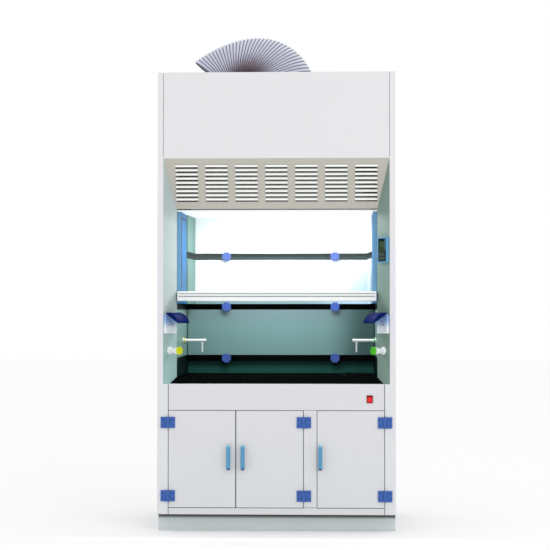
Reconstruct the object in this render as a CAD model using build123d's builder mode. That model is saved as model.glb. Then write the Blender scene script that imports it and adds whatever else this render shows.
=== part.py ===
from build123d import *
import os
from math import cos, hypot, radians, sin

# Walk-up ducted fume hood, welded from plastic sheet on a three-door base cabinet.
# Millimetres. Origin on the floor under the middle of the body, +Z up, front towards -Y, +X to the right.

# ---- overall body -------------------------------------------------------------------------------
hood_width = 1200.0
hood_depth = 850.0
hood_height = 2315.0
shell_t = 12.0
front_y = -hood_depth / 2
back_y = hood_depth / 2
half_w = hood_width / 2
inner_x = half_w - shell_t
inner_back_y = back_y - shell_t
behind_front_y = front_y + shell_t

# ---- plinth and base cabinet --------------------------------------------------------------------
plinth_height = 86.0
plinth_recess = 55.0
plinth_inset = 1.0
plinth_t = 18.0
cabinet_floor_t = 18.0
bottom_rail_height = 31.5
carcass_floor_z = plinth_height + bottom_rail_height
door_height = 492.0
apron_bottom_z = carcass_floor_z + door_height
door_t = 18.0
door_gap = 3.6
door_meeting_gap = 5.6
lower_post_width = 54.0
upper_post_width = 29.0
mullion_width = 64.5
partition_t = 12.0
cabinet_clear_x = half_w - lower_post_width
door_width = (2 * cabinet_clear_x - mullion_width) / 3
door_meeting_x = -cabinet_clear_x + door_width
mullion_left_x = door_meeting_x + door_width
mullion_right_x = mullion_left_x + mullion_width
mullion_x = (mullion_left_x + mullion_right_x) / 2

# ---- worktop and sloping sill -------------------------------------------------------------------
worktop_z = 771.0
worktop_t = 31.0
sill_run = 40.0
apron_top_z = worktop_z - worktop_t
apron_flange_t = 8.0

# ---- splayed post walls -------------------------------------------------------------------------
splay_depth = 80.0
splay_inset = 60.0
splay_t = 8.0
sash_plane_y = front_y + splay_depth
splay_front_x = half_w - upper_post_width
chamber_half_w = splay_front_x - splay_inset
splay_length = hypot(splay_inset, splay_depth)
splay_cos = splay_depth / splay_length
splay_sin = splay_inset / splay_length

# ---- louvred panel and header -------------------------------------------------------------------
header_bottom_z = 1879.0
louvre_bottom_z = 1628.0
louvre_sheet_t = 6.0
louvre_columns = 7
louvre_rows = 9
louvre_width = 113.0
louvre_column_pitch = 151.5
louvre_row_pitch = 21.7
louvre_blade_height = 13.0
louvre_blade_proud = 7.0
louvre_blade_root = 1.0
louvre_slot_height = 10.0
louvre_slot_drop = 2.2
louvre_blade_foot = 1.5
louvre_block_drop = 132.0

# ---- chamber ------------------------------------------------------------------------------------
ceiling_z = 1616.0
ceiling_t = 8.0
liner_t = 8.0
baffle_depth = 600.0
baffle_y = sash_plane_y + baffle_depth
baffle_t = 6.0
baffle_top_bottom_z = 1422.0
baffle_upper_z = (1147.0, 1386.0)
baffle_lower_z = (870.0, 1116.0)
baffle_bottom_top_z = 835.0
baffle_side_gap = 5.0
return_back_x = 466.0
return_front_x = 481.0
return_length = 262.0
chase_width = 21.0
chase_depth = 295.0
chase_bottom_z = 1147.0
chase_t = 4.0
rail_x = 295.0
rail_width = 40.0
rail_t = 20.0
rail_bottom_z = 790.0
standoff_size = 24.0

# ---- baffle clamp knobs -------------------------------------------------------------------------
knob_r = 26.0
knob_t = 22.0
knob_lobes = 8
knob_flute_r = 6.0
stud_r = 4.0
stud_clearance = 0.1
knob_boss_r = 9.0

# ---- sash ---------------------------------------------------------------------------------------
guide_width = 25.0
guide_depth = 30.0
guide_wall = 4.0
groove_depth = 13.0
groove_clearance = 2.0
guide_top_clearance = 10.0
glass_t = 6.0
glass_y = sash_plane_y + guide_depth / 2
glass_edge_clearance = 8.0
glass_half_w = chamber_half_w + guide_wall + groove_depth - glass_edge_clearance
sash_bottom_z = 1158.0
handle_height = 50.0
handle_reach = 20.0
handle_back = 12.0
handle_side_clearance = 6.0
handle_edge_round = 6.0
handle_groove_r = 4.0
handle_groove_stand_off = 1.0
handle_groove_heights = (24.0, 38.0)
glass_pocket = 20.0
sash_height = 897.0
top_rail_height = 20.0
top_rail_depth = 8.0
sash_top_z = sash_bottom_z + sash_height

# ---- counterweight gear -------------------------------------------------------------------------
cable_r = 1.5
cable_clearance = 0.3
cable_inset = 2.0
pulley_pitch_r = 20.0
pulley_flange_r = 23.0
pulley_width = 12.0
pulley_axle_r = 4.0
pulley_running_clearance = 0.05
pulley_rim_t = 2.0
pulley_seat_clearance = 1.0
pulley_z = hood_height - shell_t - 33.0
bracket_t = 4.0
bracket_gap = 4.0
bracket_half_w = 18.0
bracket_foot = 8.0
weight_width = 40.0
weight_depth = 62.0
weight_height = 430.0
weight_bottom_z = 1410.0
weight_chamfer = 3.0
cable_x = glass_half_w - cable_inset
pulley_x = cable_x + pulley_pitch_r
weight_x = pulley_x + pulley_pitch_r

# ---- hinges, door handles -----------------------------------------------------------------------
hinge_height = 56.0
hinge_leaf_reach = 36.0
hinge_leaf_t = 5.0
hinge_barrel_r = 9.0
hinge_pin_r = 4.0
hinge_pin_clearance = 0.06
hinge_top_z = 547.0
hinge_bottom_z = 179.0
hinge_knuckle_gap = 0.5
hinge_side_gap = 1.0
handle_bar_height = 133.0
handle_bar_width = 22.0
handle_bar_t = 12.0
handle_bar_reach = 38.0
handle_bar_z = 306.0
handle_edge_offset = 36.0
handle_mullion_offset = 18.0
handle_foot_height = 19.0
handle_corner_round = 4.0
handle_face_round = 3.0

# ---- services on the splayed walls --------------------------------------------------------------
service_forward = 6.0
socket_width = 78.0
socket_height = 90.0
socket_corner = 3.0
socket_t = 16.0
socket_z = 1040.0
socket_recess_width = 58.0
socket_recess_height = 66.0
socket_recess_t = 2.0
socket_pin_r = 3.2
socket_pin_pitch = 9.5
socket_pin_depth = 11.0
lid_t = 3.0
lid_skirt_t = 3.0
lid_length = 98.0
lid_width = 84.0
lid_bulge = 20.0
lid_pin_r = 2.5
lid_barrel_r = 5.0
lid_stand_off = 1.5
lid_opening_deg = 60.0
lid_hinge_clearance = 0.06
lug_width = 8.0
lug_inset = 8.0
lug_gap = 1.0
valve_z = 908.0
valve_flange_r = 20.0
valve_flange_t = 4.0
valve_stem_r = 9.0
valve_stem_length = 10.0
valve_spindle_r = 5.0
valve_spindle_length = 40.0
valve_spindle_clearance = 0.06
valve_knob_gap = 1.5
valve_skirt_root_r = 12.0
valve_skirt_r = 19.0
valve_skirt_length = 44.0
valve_neck_r = 17.0
valve_neck_length = 1.5
valve_cap_r = 20.5
valve_cap_length = 10.0
valve_cap_round = 1.5
valve_dish_r = 15.0
valve_dish_depth = 1.2
valve_index_length = 24.0
valve_index_width = 5.0
panel_width = 74.0
panel_height = 128.0
panel_corner = 4.0
panel_t = 14.0
panel_z = 1416.0
display_width = 50.0
display_height = 62.0
keypad_width = 54.0
keypad_height = 48.0
panel_inlay_t = 3.0
panel_border = 6.0
panel_shift = -3.0
display_recess = 1.0

# ---- outlets, sink, lamp ------------------------------------------------------------------------
outlet_y = sash_plane_y + 366.0
outlet_z = 952.0
outlet_arm_r = 8.5
outlet_arm_length = 123.0
outlet_flange_r = 16.0
outlet_flange_t = 4.0
outlet_nozzle_inset = 21.0
outlet_nozzle_drop = 61.0
outlet_socket_r = 6.5
outlet_socket_drop = 16.0
outlet_barb_r = 5.4
outlet_barb_root_r = 4.2
outlet_barbs = 5
sink_x = 400.0
sink_y = 110.0
sink_length = 230.0
sink_width = 110.0
sink_depth = 130.0
sink_wall = 4.0
sink_rim = 10.0
sink_rim_t = 4.0
sink_clearance = 1.0
drain_r = 20.0
drain_bore_r = 16.0
drain_length = 90.0
lamp_y = -150.0
lamp_length = 640.0
lamp_width = 120.0
lamp_lap = 10.0
lamp_glass_t = 5.0
lamp_housing_height = 70.0
lamp_housing_t = 2.0
lamp_tube_r = 13.0
lamp_tube_length = 590.0
lamp_holder_t = 12.0
lamp_housing_clearance = 1.0
lamp_tube_stand_off = 12.0

# ---- rocker switch ------------------------------------------------------------------------------
rocker_x = 470.0
rocker_z = 665.0
rocker_frame_width = 31.0
rocker_frame_height = 39.0
rocker_frame_t = 3.0
rocker_width = 23.0
rocker_height = 31.0
rocker_gap = 0.8
rocker_wall = 1.2
rocker_body_depth = 20.0
rocker_floor_t = 3.0
rocker_pivot_depth = 4.0
rocker_end_proud = 9.5
rocker_middle_proud = 6.5
rocker_foot_depth = 6.0
rocker_foot_half = 5.0
rocker_end_clearance = 1.5
rocker_pin_r = 2.0
rocker_pin_length = 1.6
rocker_pin_clearance = 0.06
rocker_tilt_deg = 7.0

# ---- exhaust ------------------------------------------------------------------------------------
duct_x = 53.0
duct_y = 60.0
duct_r = 120.0
duct_wall = 2.0
collar_r = 114.0
collar_wall = 3.0
collar_flange_r = 140.0
collar_flange_t = 4.0
collar_height = 18.0
duct_tight_bend_r = 122.0
duct_wide_bend_r = 200.0
duct_first_turn = 60.0
duct_end_turn = 44.0
duct_wide_turn = 20.0
duct_crown_run = 105.0
plenum_t = 6.0
plenum_top_half = 135.0
plenum_inset = 5.0

os.makedirs("parts", exist_ok=True)


def span(a, b):
    """Return two values in rising order."""
    return (min(a, b), max(a, b))


def board(x, y, z, mode=Mode.ADD):
    """Add a square-edged board that fills three (low, high) spans."""
    with Locations((x[0], y[0], z[0])):
        Box(x[1] - x[0], y[1] - y[0], z[1] - z[0], align=(Align.MIN,) * 3, mode=mode)


def save(part, label):
    """Label a finished piece and write it as its own file."""
    part.label = label
    export_step(part, f"parts/{label}.step")


def wall_plane(side, z, stand_off=0.0, forward=0.0):
    """Plane on a splayed post wall, facing the person at the hood; forward shifts it towards the post."""
    mid_x = side * (splay_front_x + chamber_half_w) / 2 + side * splay_sin * forward
    mid_y = (front_y + sash_plane_y) / 2 - splay_cos * forward
    normal = Vector(-side * splay_cos, -splay_sin, 0)
    along = Vector(-side * splay_sin, splay_cos, 0) * -side
    return Plane(Vector(mid_x, mid_y, z) + normal * stand_off, x_dir=along, z_dir=normal)


# ================================ base cabinet ====================================================
plinth_x = half_w - plinth_inset
plinth_front_y = front_y + plinth_recess
with BuildPart() as plinth:
    board((-plinth_x, plinth_x), (plinth_front_y, inner_back_y), (0, plinth_height))
    inner_plinth_x = plinth_x - plinth_t
    board(
        (-inner_plinth_x, inner_plinth_x),
        (plinth_front_y + plinth_t, inner_back_y - plinth_t),
        (0, plinth_height),
        mode=Mode.SUBTRACT,
    )
save(plinth.part, "plinth")

# Narrow seams part the front strips from the posts.
front_strip_x = cabinet_clear_x - door_gap
with BuildPart() as cabinet_floor:
    board((-inner_x, inner_x), (behind_front_y, inner_back_y),
          (carcass_floor_z - cabinet_floor_t, carcass_floor_z))
    board((-front_strip_x, front_strip_x), (front_y, behind_front_y), (plinth_height, carcass_floor_z))
save(cabinet_floor.part, "cabinet_floor")

with BuildPart() as side_panels:
    for side in (-1, 1):
        board(span(side * inner_x, side * half_w), (behind_front_y, back_y), (plinth_height, hood_height))
save(side_panels.part, "side_panels")

with BuildPart() as back_panel:
    board((-inner_x, inner_x), (inner_back_y, back_y), (plinth_height, hood_height))
save(back_panel.part, "back_panel")

# T-section: the front strip is the mullion, the web divides the cabinet.
with BuildPart() as cabinet_partition:
    board((mullion_left_x, mullion_right_x), (front_y, front_y + door_t), (carcass_floor_z, apron_bottom_z))
    board(
        (mullion_x - partition_t / 2, mullion_x + partition_t / 2),
        (front_y + door_t, inner_back_y),
        (carcass_floor_z, apron_bottom_z),
    )
save(cabinet_partition.part, "cabinet_partition")

# The front posts are wide beside the doors and narrow beside the chamber.
with BuildPart() as front_posts:
    for side in (-1, 1):
        board(span(side * cabinet_clear_x, side * half_w), (front_y, behind_front_y),
              (plinth_height, apron_top_z))
        board(span(side * splay_front_x, side * half_w), (front_y, behind_front_y),
              (apron_top_z, hood_height))
save(front_posts.part, "front_posts")

rocker_hole_w = rocker_width + 2 * rocker_gap
rocker_hole_h = rocker_height + 2 * rocker_gap
rocker_body_w = rocker_hole_w + 2 * rocker_wall
rocker_body_h = rocker_hole_h + 2 * rocker_wall
with BuildPart() as apron_panel:
    board((-front_strip_x, front_strip_x), (front_y, behind_front_y), (apron_bottom_z, apron_top_z))
    board((-inner_x, inner_x), (behind_front_y, sash_plane_y), (apron_top_z - apron_flange_t, apron_top_z))
    with Locations((rocker_x, front_y + shell_t / 2, rocker_z)):
        Box(rocker_body_w, shell_t, rocker_body_h, mode=Mode.SUBTRACT)
save(apron_panel.part, "apron_panel")

# ================================ worktop, sink ===================================================
sill_front_y = sash_plane_y - sill_run
sill_front_x = chamber_half_w + sill_run * splay_inset / splay_depth
with BuildPart() as worktop:
    board((-inner_x, inner_x), (sash_plane_y, inner_back_y), (apron_top_z, worktop_z))
    with BuildSketch(Plane.YZ.offset(-sill_front_x)):
        with BuildLine():
            Polyline(
                (sill_front_y, apron_top_z),
                (sash_plane_y, apron_top_z),
                (sash_plane_y, worktop_z),
                close=True,
            )
        make_face()
    extrude(amount=2 * sill_front_x)
    # The sill's ends follow the splayed walls.
    for side in (-1, 1):
        with BuildSketch(Plane.XY.offset(apron_top_z)):
            with BuildLine():
                Polyline(
                    (side * chamber_half_w, sash_plane_y),
                    (side * sill_front_x, sill_front_y),
                    (side * (sill_front_x + 1), sill_front_y - 1),
                    (side * (sill_front_x + 1), sash_plane_y),
                    close=True,
                )
            make_face()
        extrude(amount=worktop_t, mode=Mode.SUBTRACT)
    with BuildSketch(Plane.XY.offset(worktop_z)):
        with Locations((sink_x, sink_y)):
            SlotOverall(sink_length + 2 * sink_clearance, sink_width + 2 * sink_clearance, rotation=90)
    extrude(amount=-worktop_t, mode=Mode.SUBTRACT)
save(worktop.part, "worktop")

sink_floor_z = worktop_z - sink_depth
with BuildPart() as cup_sink:
    with BuildSketch(Plane.XY.offset(worktop_z)):
        with Locations((sink_x, sink_y)):
            SlotOverall(sink_length + 2 * sink_rim, sink_width + 2 * sink_rim, rotation=90)
    extrude(amount=sink_rim_t)
    with BuildSketch(Plane.XY.offset(worktop_z)):
        with Locations((sink_x, sink_y)):
            SlotOverall(sink_length, sink_width, rotation=90)
    extrude(amount=-sink_depth)
    with BuildSketch(Plane.XY.offset(sink_floor_z)):
        with Locations((sink_x, sink_y)):
            Circle(drain_r)
    extrude(amount=-drain_length)
    with BuildSketch(Plane.XY.offset(worktop_z + sink_rim_t)):
        with Locations((sink_x, sink_y)):
            SlotOverall(sink_length - 2 * sink_wall, sink_width - 2 * sink_wall, rotation=90)
    extrude(amount=sink_wall - sink_rim_t - sink_depth, mode=Mode.SUBTRACT)
    with BuildSketch(Plane.XY.offset(sink_floor_z + sink_wall)):
        with Locations((sink_x, sink_y)):
            Circle(drain_bore_r)
    extrude(amount=-drain_length - sink_wall, mode=Mode.SUBTRACT)
save(cup_sink.part, "cup_sink")

# ================================ splayed walls, header, louvres ==================================
# Each splayed wall runs from the post's front corner back to the sash plane.
clip_x = chamber_half_w + splay_t / splay_cos
back_start_x = splay_front_x - (shell_t - splay_t / splay_sin) * splay_inset / splay_depth
with BuildPart() as splay_panels:
    for side in (-1, 1):
        with BuildSketch(Plane.XY.offset(apron_top_z)):
            with BuildLine():
                Polyline(
                    (side * splay_front_x, front_y),
                    (side * chamber_half_w, sash_plane_y),
                    (side * clip_x, sash_plane_y),
                    (side * back_start_x, behind_front_y),
                    (side * splay_front_x, behind_front_y),
                    close=True,
                )
            make_face()
        extrude(amount=header_bottom_z - apron_top_z)
save(splay_panels.part, "splay_panels")

with BuildPart() as header_panel:
    board((-splay_front_x, splay_front_x), (front_y, behind_front_y), (header_bottom_z, hood_height))
save(header_panel.part, "header_panel")

louvre_drop = header_bottom_z - louvre_bottom_z
louvre_slope = hypot(splay_depth, louvre_drop)
lean_cos = louvre_drop / louvre_slope
lean_sin = splay_depth / louvre_slope
sheet_run = louvre_sheet_t / lean_cos
block_mid = louvre_block_drop / louvre_slope
louvre_plane = Plane(
    (0, front_y + splay_depth * block_mid, header_bottom_z - louvre_drop * block_mid),
    x_dir=(1, 0, 0),
    z_dir=(0, -lean_cos, -lean_sin),
)
with BuildPart() as louvre_panel:
    with BuildSketch(Plane.YZ.offset(-splay_front_x)):
        with BuildLine():
            Polyline(
                (front_y, header_bottom_z),
                (sash_plane_y, louvre_bottom_z),
                (sash_plane_y + sheet_run, louvre_bottom_z),
                (front_y + sheet_run, header_bottom_z),
                close=True,
            )
        make_face()
    extrude(amount=2 * splay_front_x)
    with BuildSketch(louvre_plane):
        with Locations((0, -louvre_slot_drop)):
            with GridLocations(louvre_column_pitch, louvre_row_pitch, louvre_columns, louvre_rows):
                Rectangle(louvre_width, louvre_slot_height)
    extrude(amount=-2 * louvre_sheet_t, both=True, mode=Mode.SUBTRACT)
    # Pressed blades: flush with the sheet at the top, proud over the slot at the bottom.
    blade_plane = Plane(louvre_plane.origin, x_dir=louvre_plane.y_dir, z_dir=louvre_plane.x_dir)
    for column in range(louvre_columns):
        column_x = (column - (louvre_columns - 1) / 2) * louvre_column_pitch
        with BuildSketch(blade_plane.offset(column_x - louvre_width / 2)):
            for row in range(louvre_rows):
                foot = (row - (louvre_rows - 1) / 2) * louvre_row_pitch + louvre_blade_foot
                with BuildLine():
                    Polyline(
                        (foot, -louvre_blade_root),
                        (foot, louvre_blade_proud),
                        (foot + louvre_blade_height, 0),
                        (foot + louvre_blade_height, -louvre_blade_root),
                        close=True,
                    )
                make_face()
        extrude(amount=louvre_width)
    # The sides are cut to the splayed walls.
    with BuildSketch(Plane.XY.offset(louvre_bottom_z)):
        with BuildLine():
            back_reach = 2 * splay_depth
            Polyline(
                (-splay_front_x - splay_inset, front_y - splay_depth),
                (splay_front_x + splay_inset, front_y - splay_depth),
                (splay_front_x - 2 * splay_inset, front_y + back_reach),
                (-splay_front_x + 2 * splay_inset, front_y + back_reach),
                close=True,
            )
        make_face()
    extrude(amount=louvre_drop, mode=Mode.INTERSECT)
save(louvre_panel.part, "louvre_panel")

# ================================ roof, exhaust ===================================================
with BuildPart() as roof_panel:
    board((-inner_x, inner_x), (behind_front_y, inner_back_y), (hood_height - shell_t, hood_height))
    with BuildSketch(Plane.XY.offset(hood_height)):
        with Locations((duct_x, duct_y)):
            Circle(collar_r)
    extrude(amount=-shell_t, mode=Mode.SUBTRACT)
save(roof_panel.part, "roof_panel")

with BuildPart() as duct_collar:
    with BuildSketch(Plane.XY.offset(hood_height)):
        with Locations((duct_x, duct_y)):
            Circle(collar_flange_r)
    extrude(amount=collar_flange_t)
    with BuildSketch(Plane.XY.offset(hood_height)):
        with Locations((duct_x, duct_y)):
            Circle(collar_r)
    extrude(amount=collar_flange_t + collar_height)
    with BuildSketch(Plane.XY.offset(hood_height)):
        with Locations((duct_x, duct_y)):
            Circle(collar_r - collar_wall)
    extrude(amount=collar_flange_t + collar_height, mode=Mode.SUBTRACT)
save(duct_collar.part, "duct_collar")


def turn(start, heading, radius, angle):
    """Arc that bends a duct run over to the left; returns its end and its new heading, in degrees."""
    first = radians(heading)
    last = radians(heading + angle)
    end_x = start[0] - radius * (cos(first) - cos(last))
    end_z = start[1] + radius * (sin(last) - sin(first))
    return (end_x, end_z), heading + angle


def run_direction(heading):
    """Direction of a duct run that leans over to the left by a heading, in degrees from upright."""
    return Vector(-sin(radians(heading)), 0, cos(radians(heading)))


duct_start = (duct_x, hood_height + collar_flange_t)
bend_1, heading_1 = turn(duct_start, 0, duct_tight_bend_r, duct_first_turn)
bend_2, heading_2 = turn(bend_1, heading_1, duct_wide_bend_r, 90 - duct_first_turn)
crown_end = (bend_2[0] - duct_crown_run, bend_2[1])
bend_3, heading_3 = turn(crown_end, heading_2, duct_wide_bend_r, duct_wide_turn)
bend_4, heading_4 = turn(bend_3, heading_3, duct_tight_bend_r, duct_end_turn)
with BuildPart() as flexible_duct:
    with BuildLine(Plane.XZ.offset(-duct_y)) as duct_route:
        TangentArc(duct_start, bend_1, tangent=run_direction(0))
        TangentArc(bend_1, bend_2, tangent=run_direction(heading_1))
        Line(bend_2, crown_end)
        TangentArc(crown_end, bend_3, tangent=run_direction(heading_2))
        TangentArc(bend_3, bend_4, tangent=run_direction(heading_3))
    with BuildSketch(Plane((duct_x, duct_y, duct_start[1]))) as duct_outside:
        Circle(duct_r)
    sweep(duct_outside.sketch, path=duct_route.wire())
    with BuildSketch(Plane((duct_x, duct_y, duct_start[1]))) as duct_inside:
        Circle(duct_r - duct_wall)
    sweep(duct_inside.sketch, path=duct_route.wire(), mode=Mode.SUBTRACT)
save(flexible_duct.part, "flexible_duct")

# Tapered hood that gathers the air behind the baffles and carries it up to the collar.
plenum_x = chamber_half_w - plenum_inset
plenum_y = (baffle_y + baffle_t + plenum_inset, inner_back_y - plenum_inset)
plenum_z = (ceiling_z + ceiling_t, hood_height - shell_t)


def plenum_section(inset):
    """Bottom and top outlines of the exhaust plenum, each drawn in by an inset."""
    with BuildSketch(Plane.XY.offset(plenum_z[0])) as mouth:
        with Locations((0, sum(plenum_y) / 2)):
            Rectangle(2 * (plenum_x - inset), plenum_y[1] - plenum_y[0] - 2 * inset)
    with BuildSketch(Plane.XY.offset(plenum_z[1])) as neck:
        with Locations((duct_x, duct_y)):
            Rectangle(2 * (plenum_top_half - inset), 2 * (plenum_top_half - inset))
    return [mouth.sketch.face(), neck.sketch.face()]


with BuildPart() as exhaust_plenum:
    loft(plenum_section(0), ruled=True)
    loft(plenum_section(plenum_t), ruled=True, mode=Mode.SUBTRACT)
save(exhaust_plenum.part, "exhaust_plenum")

# ================================ chamber =========================================================
liner_y = (sash_plane_y + guide_depth, inner_back_y)
with BuildPart() as chamber_liners:
    for side in (-1, 1):
        board(span(side * chamber_half_w, side * (chamber_half_w + liner_t)), liner_y,
              (worktop_z, ceiling_z + ceiling_t))
save(chamber_liners.part, "chamber_liners")

with BuildPart() as ceiling_panel:
    board((-chamber_half_w, chamber_half_w), (liner_y[0], baffle_y + baffle_t),
          (ceiling_z, ceiling_z + ceiling_t))
    with Locations((0, lamp_y, ceiling_z + ceiling_t / 2)):
        Box(lamp_length, lamp_width, ceiling_t, mode=Mode.SUBTRACT)
save(ceiling_panel.part, "ceiling_panel")

lamp_seat_z = ceiling_z + ceiling_t
with BuildPart() as lamp_glass:
    with Locations((0, lamp_y, lamp_seat_z)):
        Box(lamp_length + 2 * lamp_lap, lamp_width + 2 * lamp_lap, lamp_glass_t,
            align=(Align.CENTER, Align.CENTER, Align.MIN))
save(lamp_glass.part, "lamp_glass")

housing_x = lamp_length / 2 + lamp_lap + lamp_housing_clearance
housing_y = lamp_width / 2 + lamp_lap + lamp_housing_clearance
lamp_axis_z = lamp_seat_z + lamp_glass_t + lamp_tube_r + lamp_tube_stand_off
with BuildPart() as lamp_housing:
    outer_x = housing_x + lamp_housing_t
    outer_y = housing_y + lamp_housing_t
    housing_top_z = lamp_seat_z + lamp_housing_height
    board((-outer_x, outer_x), (lamp_y - outer_y, lamp_y + outer_y), (lamp_seat_z, housing_top_z))
    board(
        (-housing_x, housing_x),
        (lamp_y - housing_y, lamp_y + housing_y),
        (lamp_seat_z, housing_top_z - lamp_housing_t),
        mode=Mode.SUBTRACT,
    )
    # Lamp holders hang from the tray at each end of the tube.
    for side in (-1, 1):
        holder = span(side * lamp_tube_length / 2, side * (lamp_tube_length / 2 + lamp_holder_t))
        board(holder, (lamp_y - lamp_tube_r, lamp_y + lamp_tube_r),
              (lamp_axis_z - lamp_tube_r, housing_top_z - lamp_housing_t))
save(lamp_housing.part, "lamp_housing")

with BuildPart() as lamp_tube:
    with BuildSketch(Plane.YZ.offset(-lamp_tube_length / 2)):
        with Locations((lamp_y, lamp_axis_z)):
            Circle(lamp_tube_r)
    extrude(amount=lamp_tube_length)
save(lamp_tube.part, "lamp_tube")


def baffle_with_returns(z_low, z_high):
    """Baffle sheet whose two side returns run forward and close against the liners."""
    outer = [
        (chamber_half_w, baffle_y - return_length),
        (return_front_x, baffle_y - return_length),
        (return_back_x, baffle_y),
    ]
    inner = [
        (return_back_x + baffle_t, baffle_y + baffle_t),
        (return_front_x + baffle_t, baffle_y - return_length + baffle_t),
        (chamber_half_w, baffle_y - return_length + baffle_t),
    ]
    right = outer + inner
    with BuildSketch(Plane.XY.offset(z_low)) as plan:
        for side in (-1, 1):
            with BuildLine():
                Polyline(*[(side * x, y) for x, y in right], close=True)
            make_face()
        with Locations((0, baffle_y + baffle_t / 2)):
            Rectangle(2 * return_back_x + baffle_t, baffle_t)
    extrude(plan.sketch, amount=z_high - z_low)


with BuildPart() as baffle_top:
    baffle_with_returns(baffle_top_bottom_z, ceiling_z)
save(baffle_top.part, "baffle_top")

with BuildPart() as baffle_upper:
    baffle_with_returns(*baffle_upper_z)
save(baffle_upper.part, "baffle_upper")

baffle_half_w = chamber_half_w - baffle_side_gap
with BuildPart() as baffle_lower:
    board((-baffle_half_w, baffle_half_w), (baffle_y, baffle_y + baffle_t), baffle_lower_z)
save(baffle_lower.part, "baffle_lower")

with BuildPart() as baffle_bottom:
    board((-baffle_half_w, baffle_half_w), (baffle_y, baffle_y + baffle_t),
          (worktop_z, baffle_bottom_top_z))
save(baffle_bottom.part, "baffle_bottom")

knob_heights = [
    (baffle_bottom_top_z + baffle_lower_z[0]) / 2,
    (baffle_lower_z[1] + baffle_upper_z[0]) / 2,
    (baffle_upper_z[1] + baffle_top_bottom_z) / 2,
]
rail_front_y = baffle_y + baffle_t
with BuildPart() as baffle_rails:
    for side in (-1, 1):
        x_low = side * rail_x - rail_width / 2
        board((x_low, x_low + rail_width), (rail_front_y, rail_front_y + rail_t),
              (rail_bottom_z, ceiling_z))
        for z in knob_heights:
            with Locations((side * rail_x, (rail_front_y + rail_t + inner_back_y) / 2, z)):
                Box(standoff_size, inner_back_y - rail_front_y - rail_t, standoff_size)
            with Locations((side * rail_x, rail_front_y, z)):
                Cylinder(stud_r + stud_clearance, 2 * rail_t, rotation=(90, 0, 0), mode=Mode.SUBTRACT)
save(baffle_rails.part, "baffle_rails")

# Star knobs in the slots clamp the edges of the sheets above and below against the rails.
with BuildPart() as baffle_knobs:
    for side in (-1, 1):
        for z in knob_heights:
            with BuildSketch(Plane((side * rail_x, baffle_y, z), x_dir=(1, 0, 0), z_dir=(0, -1, 0))):
                Circle(knob_r)
                with PolarLocations(knob_r + knob_flute_r / 3, knob_lobes):
                    Circle(knob_flute_r, mode=Mode.SUBTRACT)
            extrude(amount=knob_t)
            with BuildSketch(Plane((side * rail_x, baffle_y, z), x_dir=(1, 0, 0), z_dir=(0, -1, 0))):
                Circle(stud_r)
            extrude(amount=-baffle_t - rail_t + 2.0)
save(baffle_knobs.part, "baffle_knobs")

with BuildPart() as side_chases:
    for side in (-1, 1):
        inner = chamber_half_w - chase_width
        chase_y = (liner_y[0], liner_y[0] + chase_depth)
        board(span(side * inner, side * chamber_half_w), chase_y, (chase_bottom_z, ceiling_z))
        board(
            span(side * (inner + chase_t), side * chamber_half_w),
            (chase_y[0] + chase_t, chase_y[1] - chase_t),
            (chase_bottom_z + chase_t, ceiling_z - chase_t),
            mode=Mode.SUBTRACT,
        )
save(side_chases.part, "side_chases")

# ================================ sash and its guides =============================================
groove_y = (glass_y - glass_t / 2 - groove_clearance, glass_y + glass_t / 2 + groove_clearance)
guide_top_z = pulley_z - pulley_flange_r - guide_top_clearance
with BuildPart() as sash_guides:
    for side in (-1, 1):
        board(span(side * chamber_half_w, side * (chamber_half_w + guide_width)),
              (sash_plane_y, sash_plane_y + guide_depth), (worktop_z, guide_top_z))
        groove_end = chamber_half_w + guide_wall + groove_depth
        board(span(side * chamber_half_w, side * groove_end), groove_y, (worktop_z, guide_top_z),
              mode=Mode.SUBTRACT)
save(sash_guides.part, "sash_guides")

glass_bottom_z = sash_bottom_z + handle_height - glass_pocket
glass_top_z = sash_top_z - top_rail_height / 2
with BuildPart() as sash_glass:
    board((-glass_half_w, glass_half_w), (glass_y - glass_t / 2, glass_y + glass_t / 2),
          (glass_bottom_z, glass_top_z))
save(sash_glass.part, "sash_glass")

handle_half_w = chamber_half_w - handle_side_clearance
handle_y = (sash_plane_y - handle_reach, glass_y + handle_back)
with BuildPart() as sash_handle:
    board((-handle_half_w, handle_half_w), handle_y, (sash_bottom_z, sash_bottom_z + handle_height))
    front_edges = sash_handle.edges().filter_by(Axis.X).group_by(Axis.Y)[0]
    fillet(front_edges, radius=handle_edge_round)
    board((-handle_half_w, handle_half_w), (glass_y - glass_t / 2, glass_y + glass_t / 2),
          (glass_bottom_z, sash_bottom_z + handle_height), mode=Mode.SUBTRACT)
    # Two finger grooves run the full length of the front face.
    with BuildSketch(Plane.YZ.offset(-handle_half_w)):
        for height in handle_groove_heights:
            with Locations((handle_y[0] - handle_groove_stand_off, sash_bottom_z + height)):
                Circle(handle_groove_r)
    extrude(amount=2 * handle_half_w, mode=Mode.SUBTRACT)
save(sash_handle.part, "sash_handle")

with BuildPart() as sash_top_rail:
    board((-glass_half_w, glass_half_w), (glass_y - top_rail_depth / 2, glass_y + top_rail_depth / 2),
          (sash_top_z - top_rail_height, sash_top_z))
    board((-glass_half_w, glass_half_w), (glass_y - glass_t / 2, glass_y + glass_t / 2),
          (sash_top_z - top_rail_height, glass_top_z), mode=Mode.SUBTRACT)
save(sash_top_rail.part, "sash_top_rail")

# ================================ counterweights, sheaves, cables =================================
weight_top_z = weight_bottom_z + weight_height


def counterweight(side):
    """Cast bar that hangs in the post on its cable."""
    with BuildPart() as weight:
        with Locations((side * weight_x, glass_y, weight_bottom_z)):
            Box(weight_width, weight_depth, weight_height, align=(Align.CENTER, Align.CENTER, Align.MIN))
        chamfer(weight.edges().filter_by(Axis.Z), length=weight_chamfer)
    return weight.part


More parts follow.
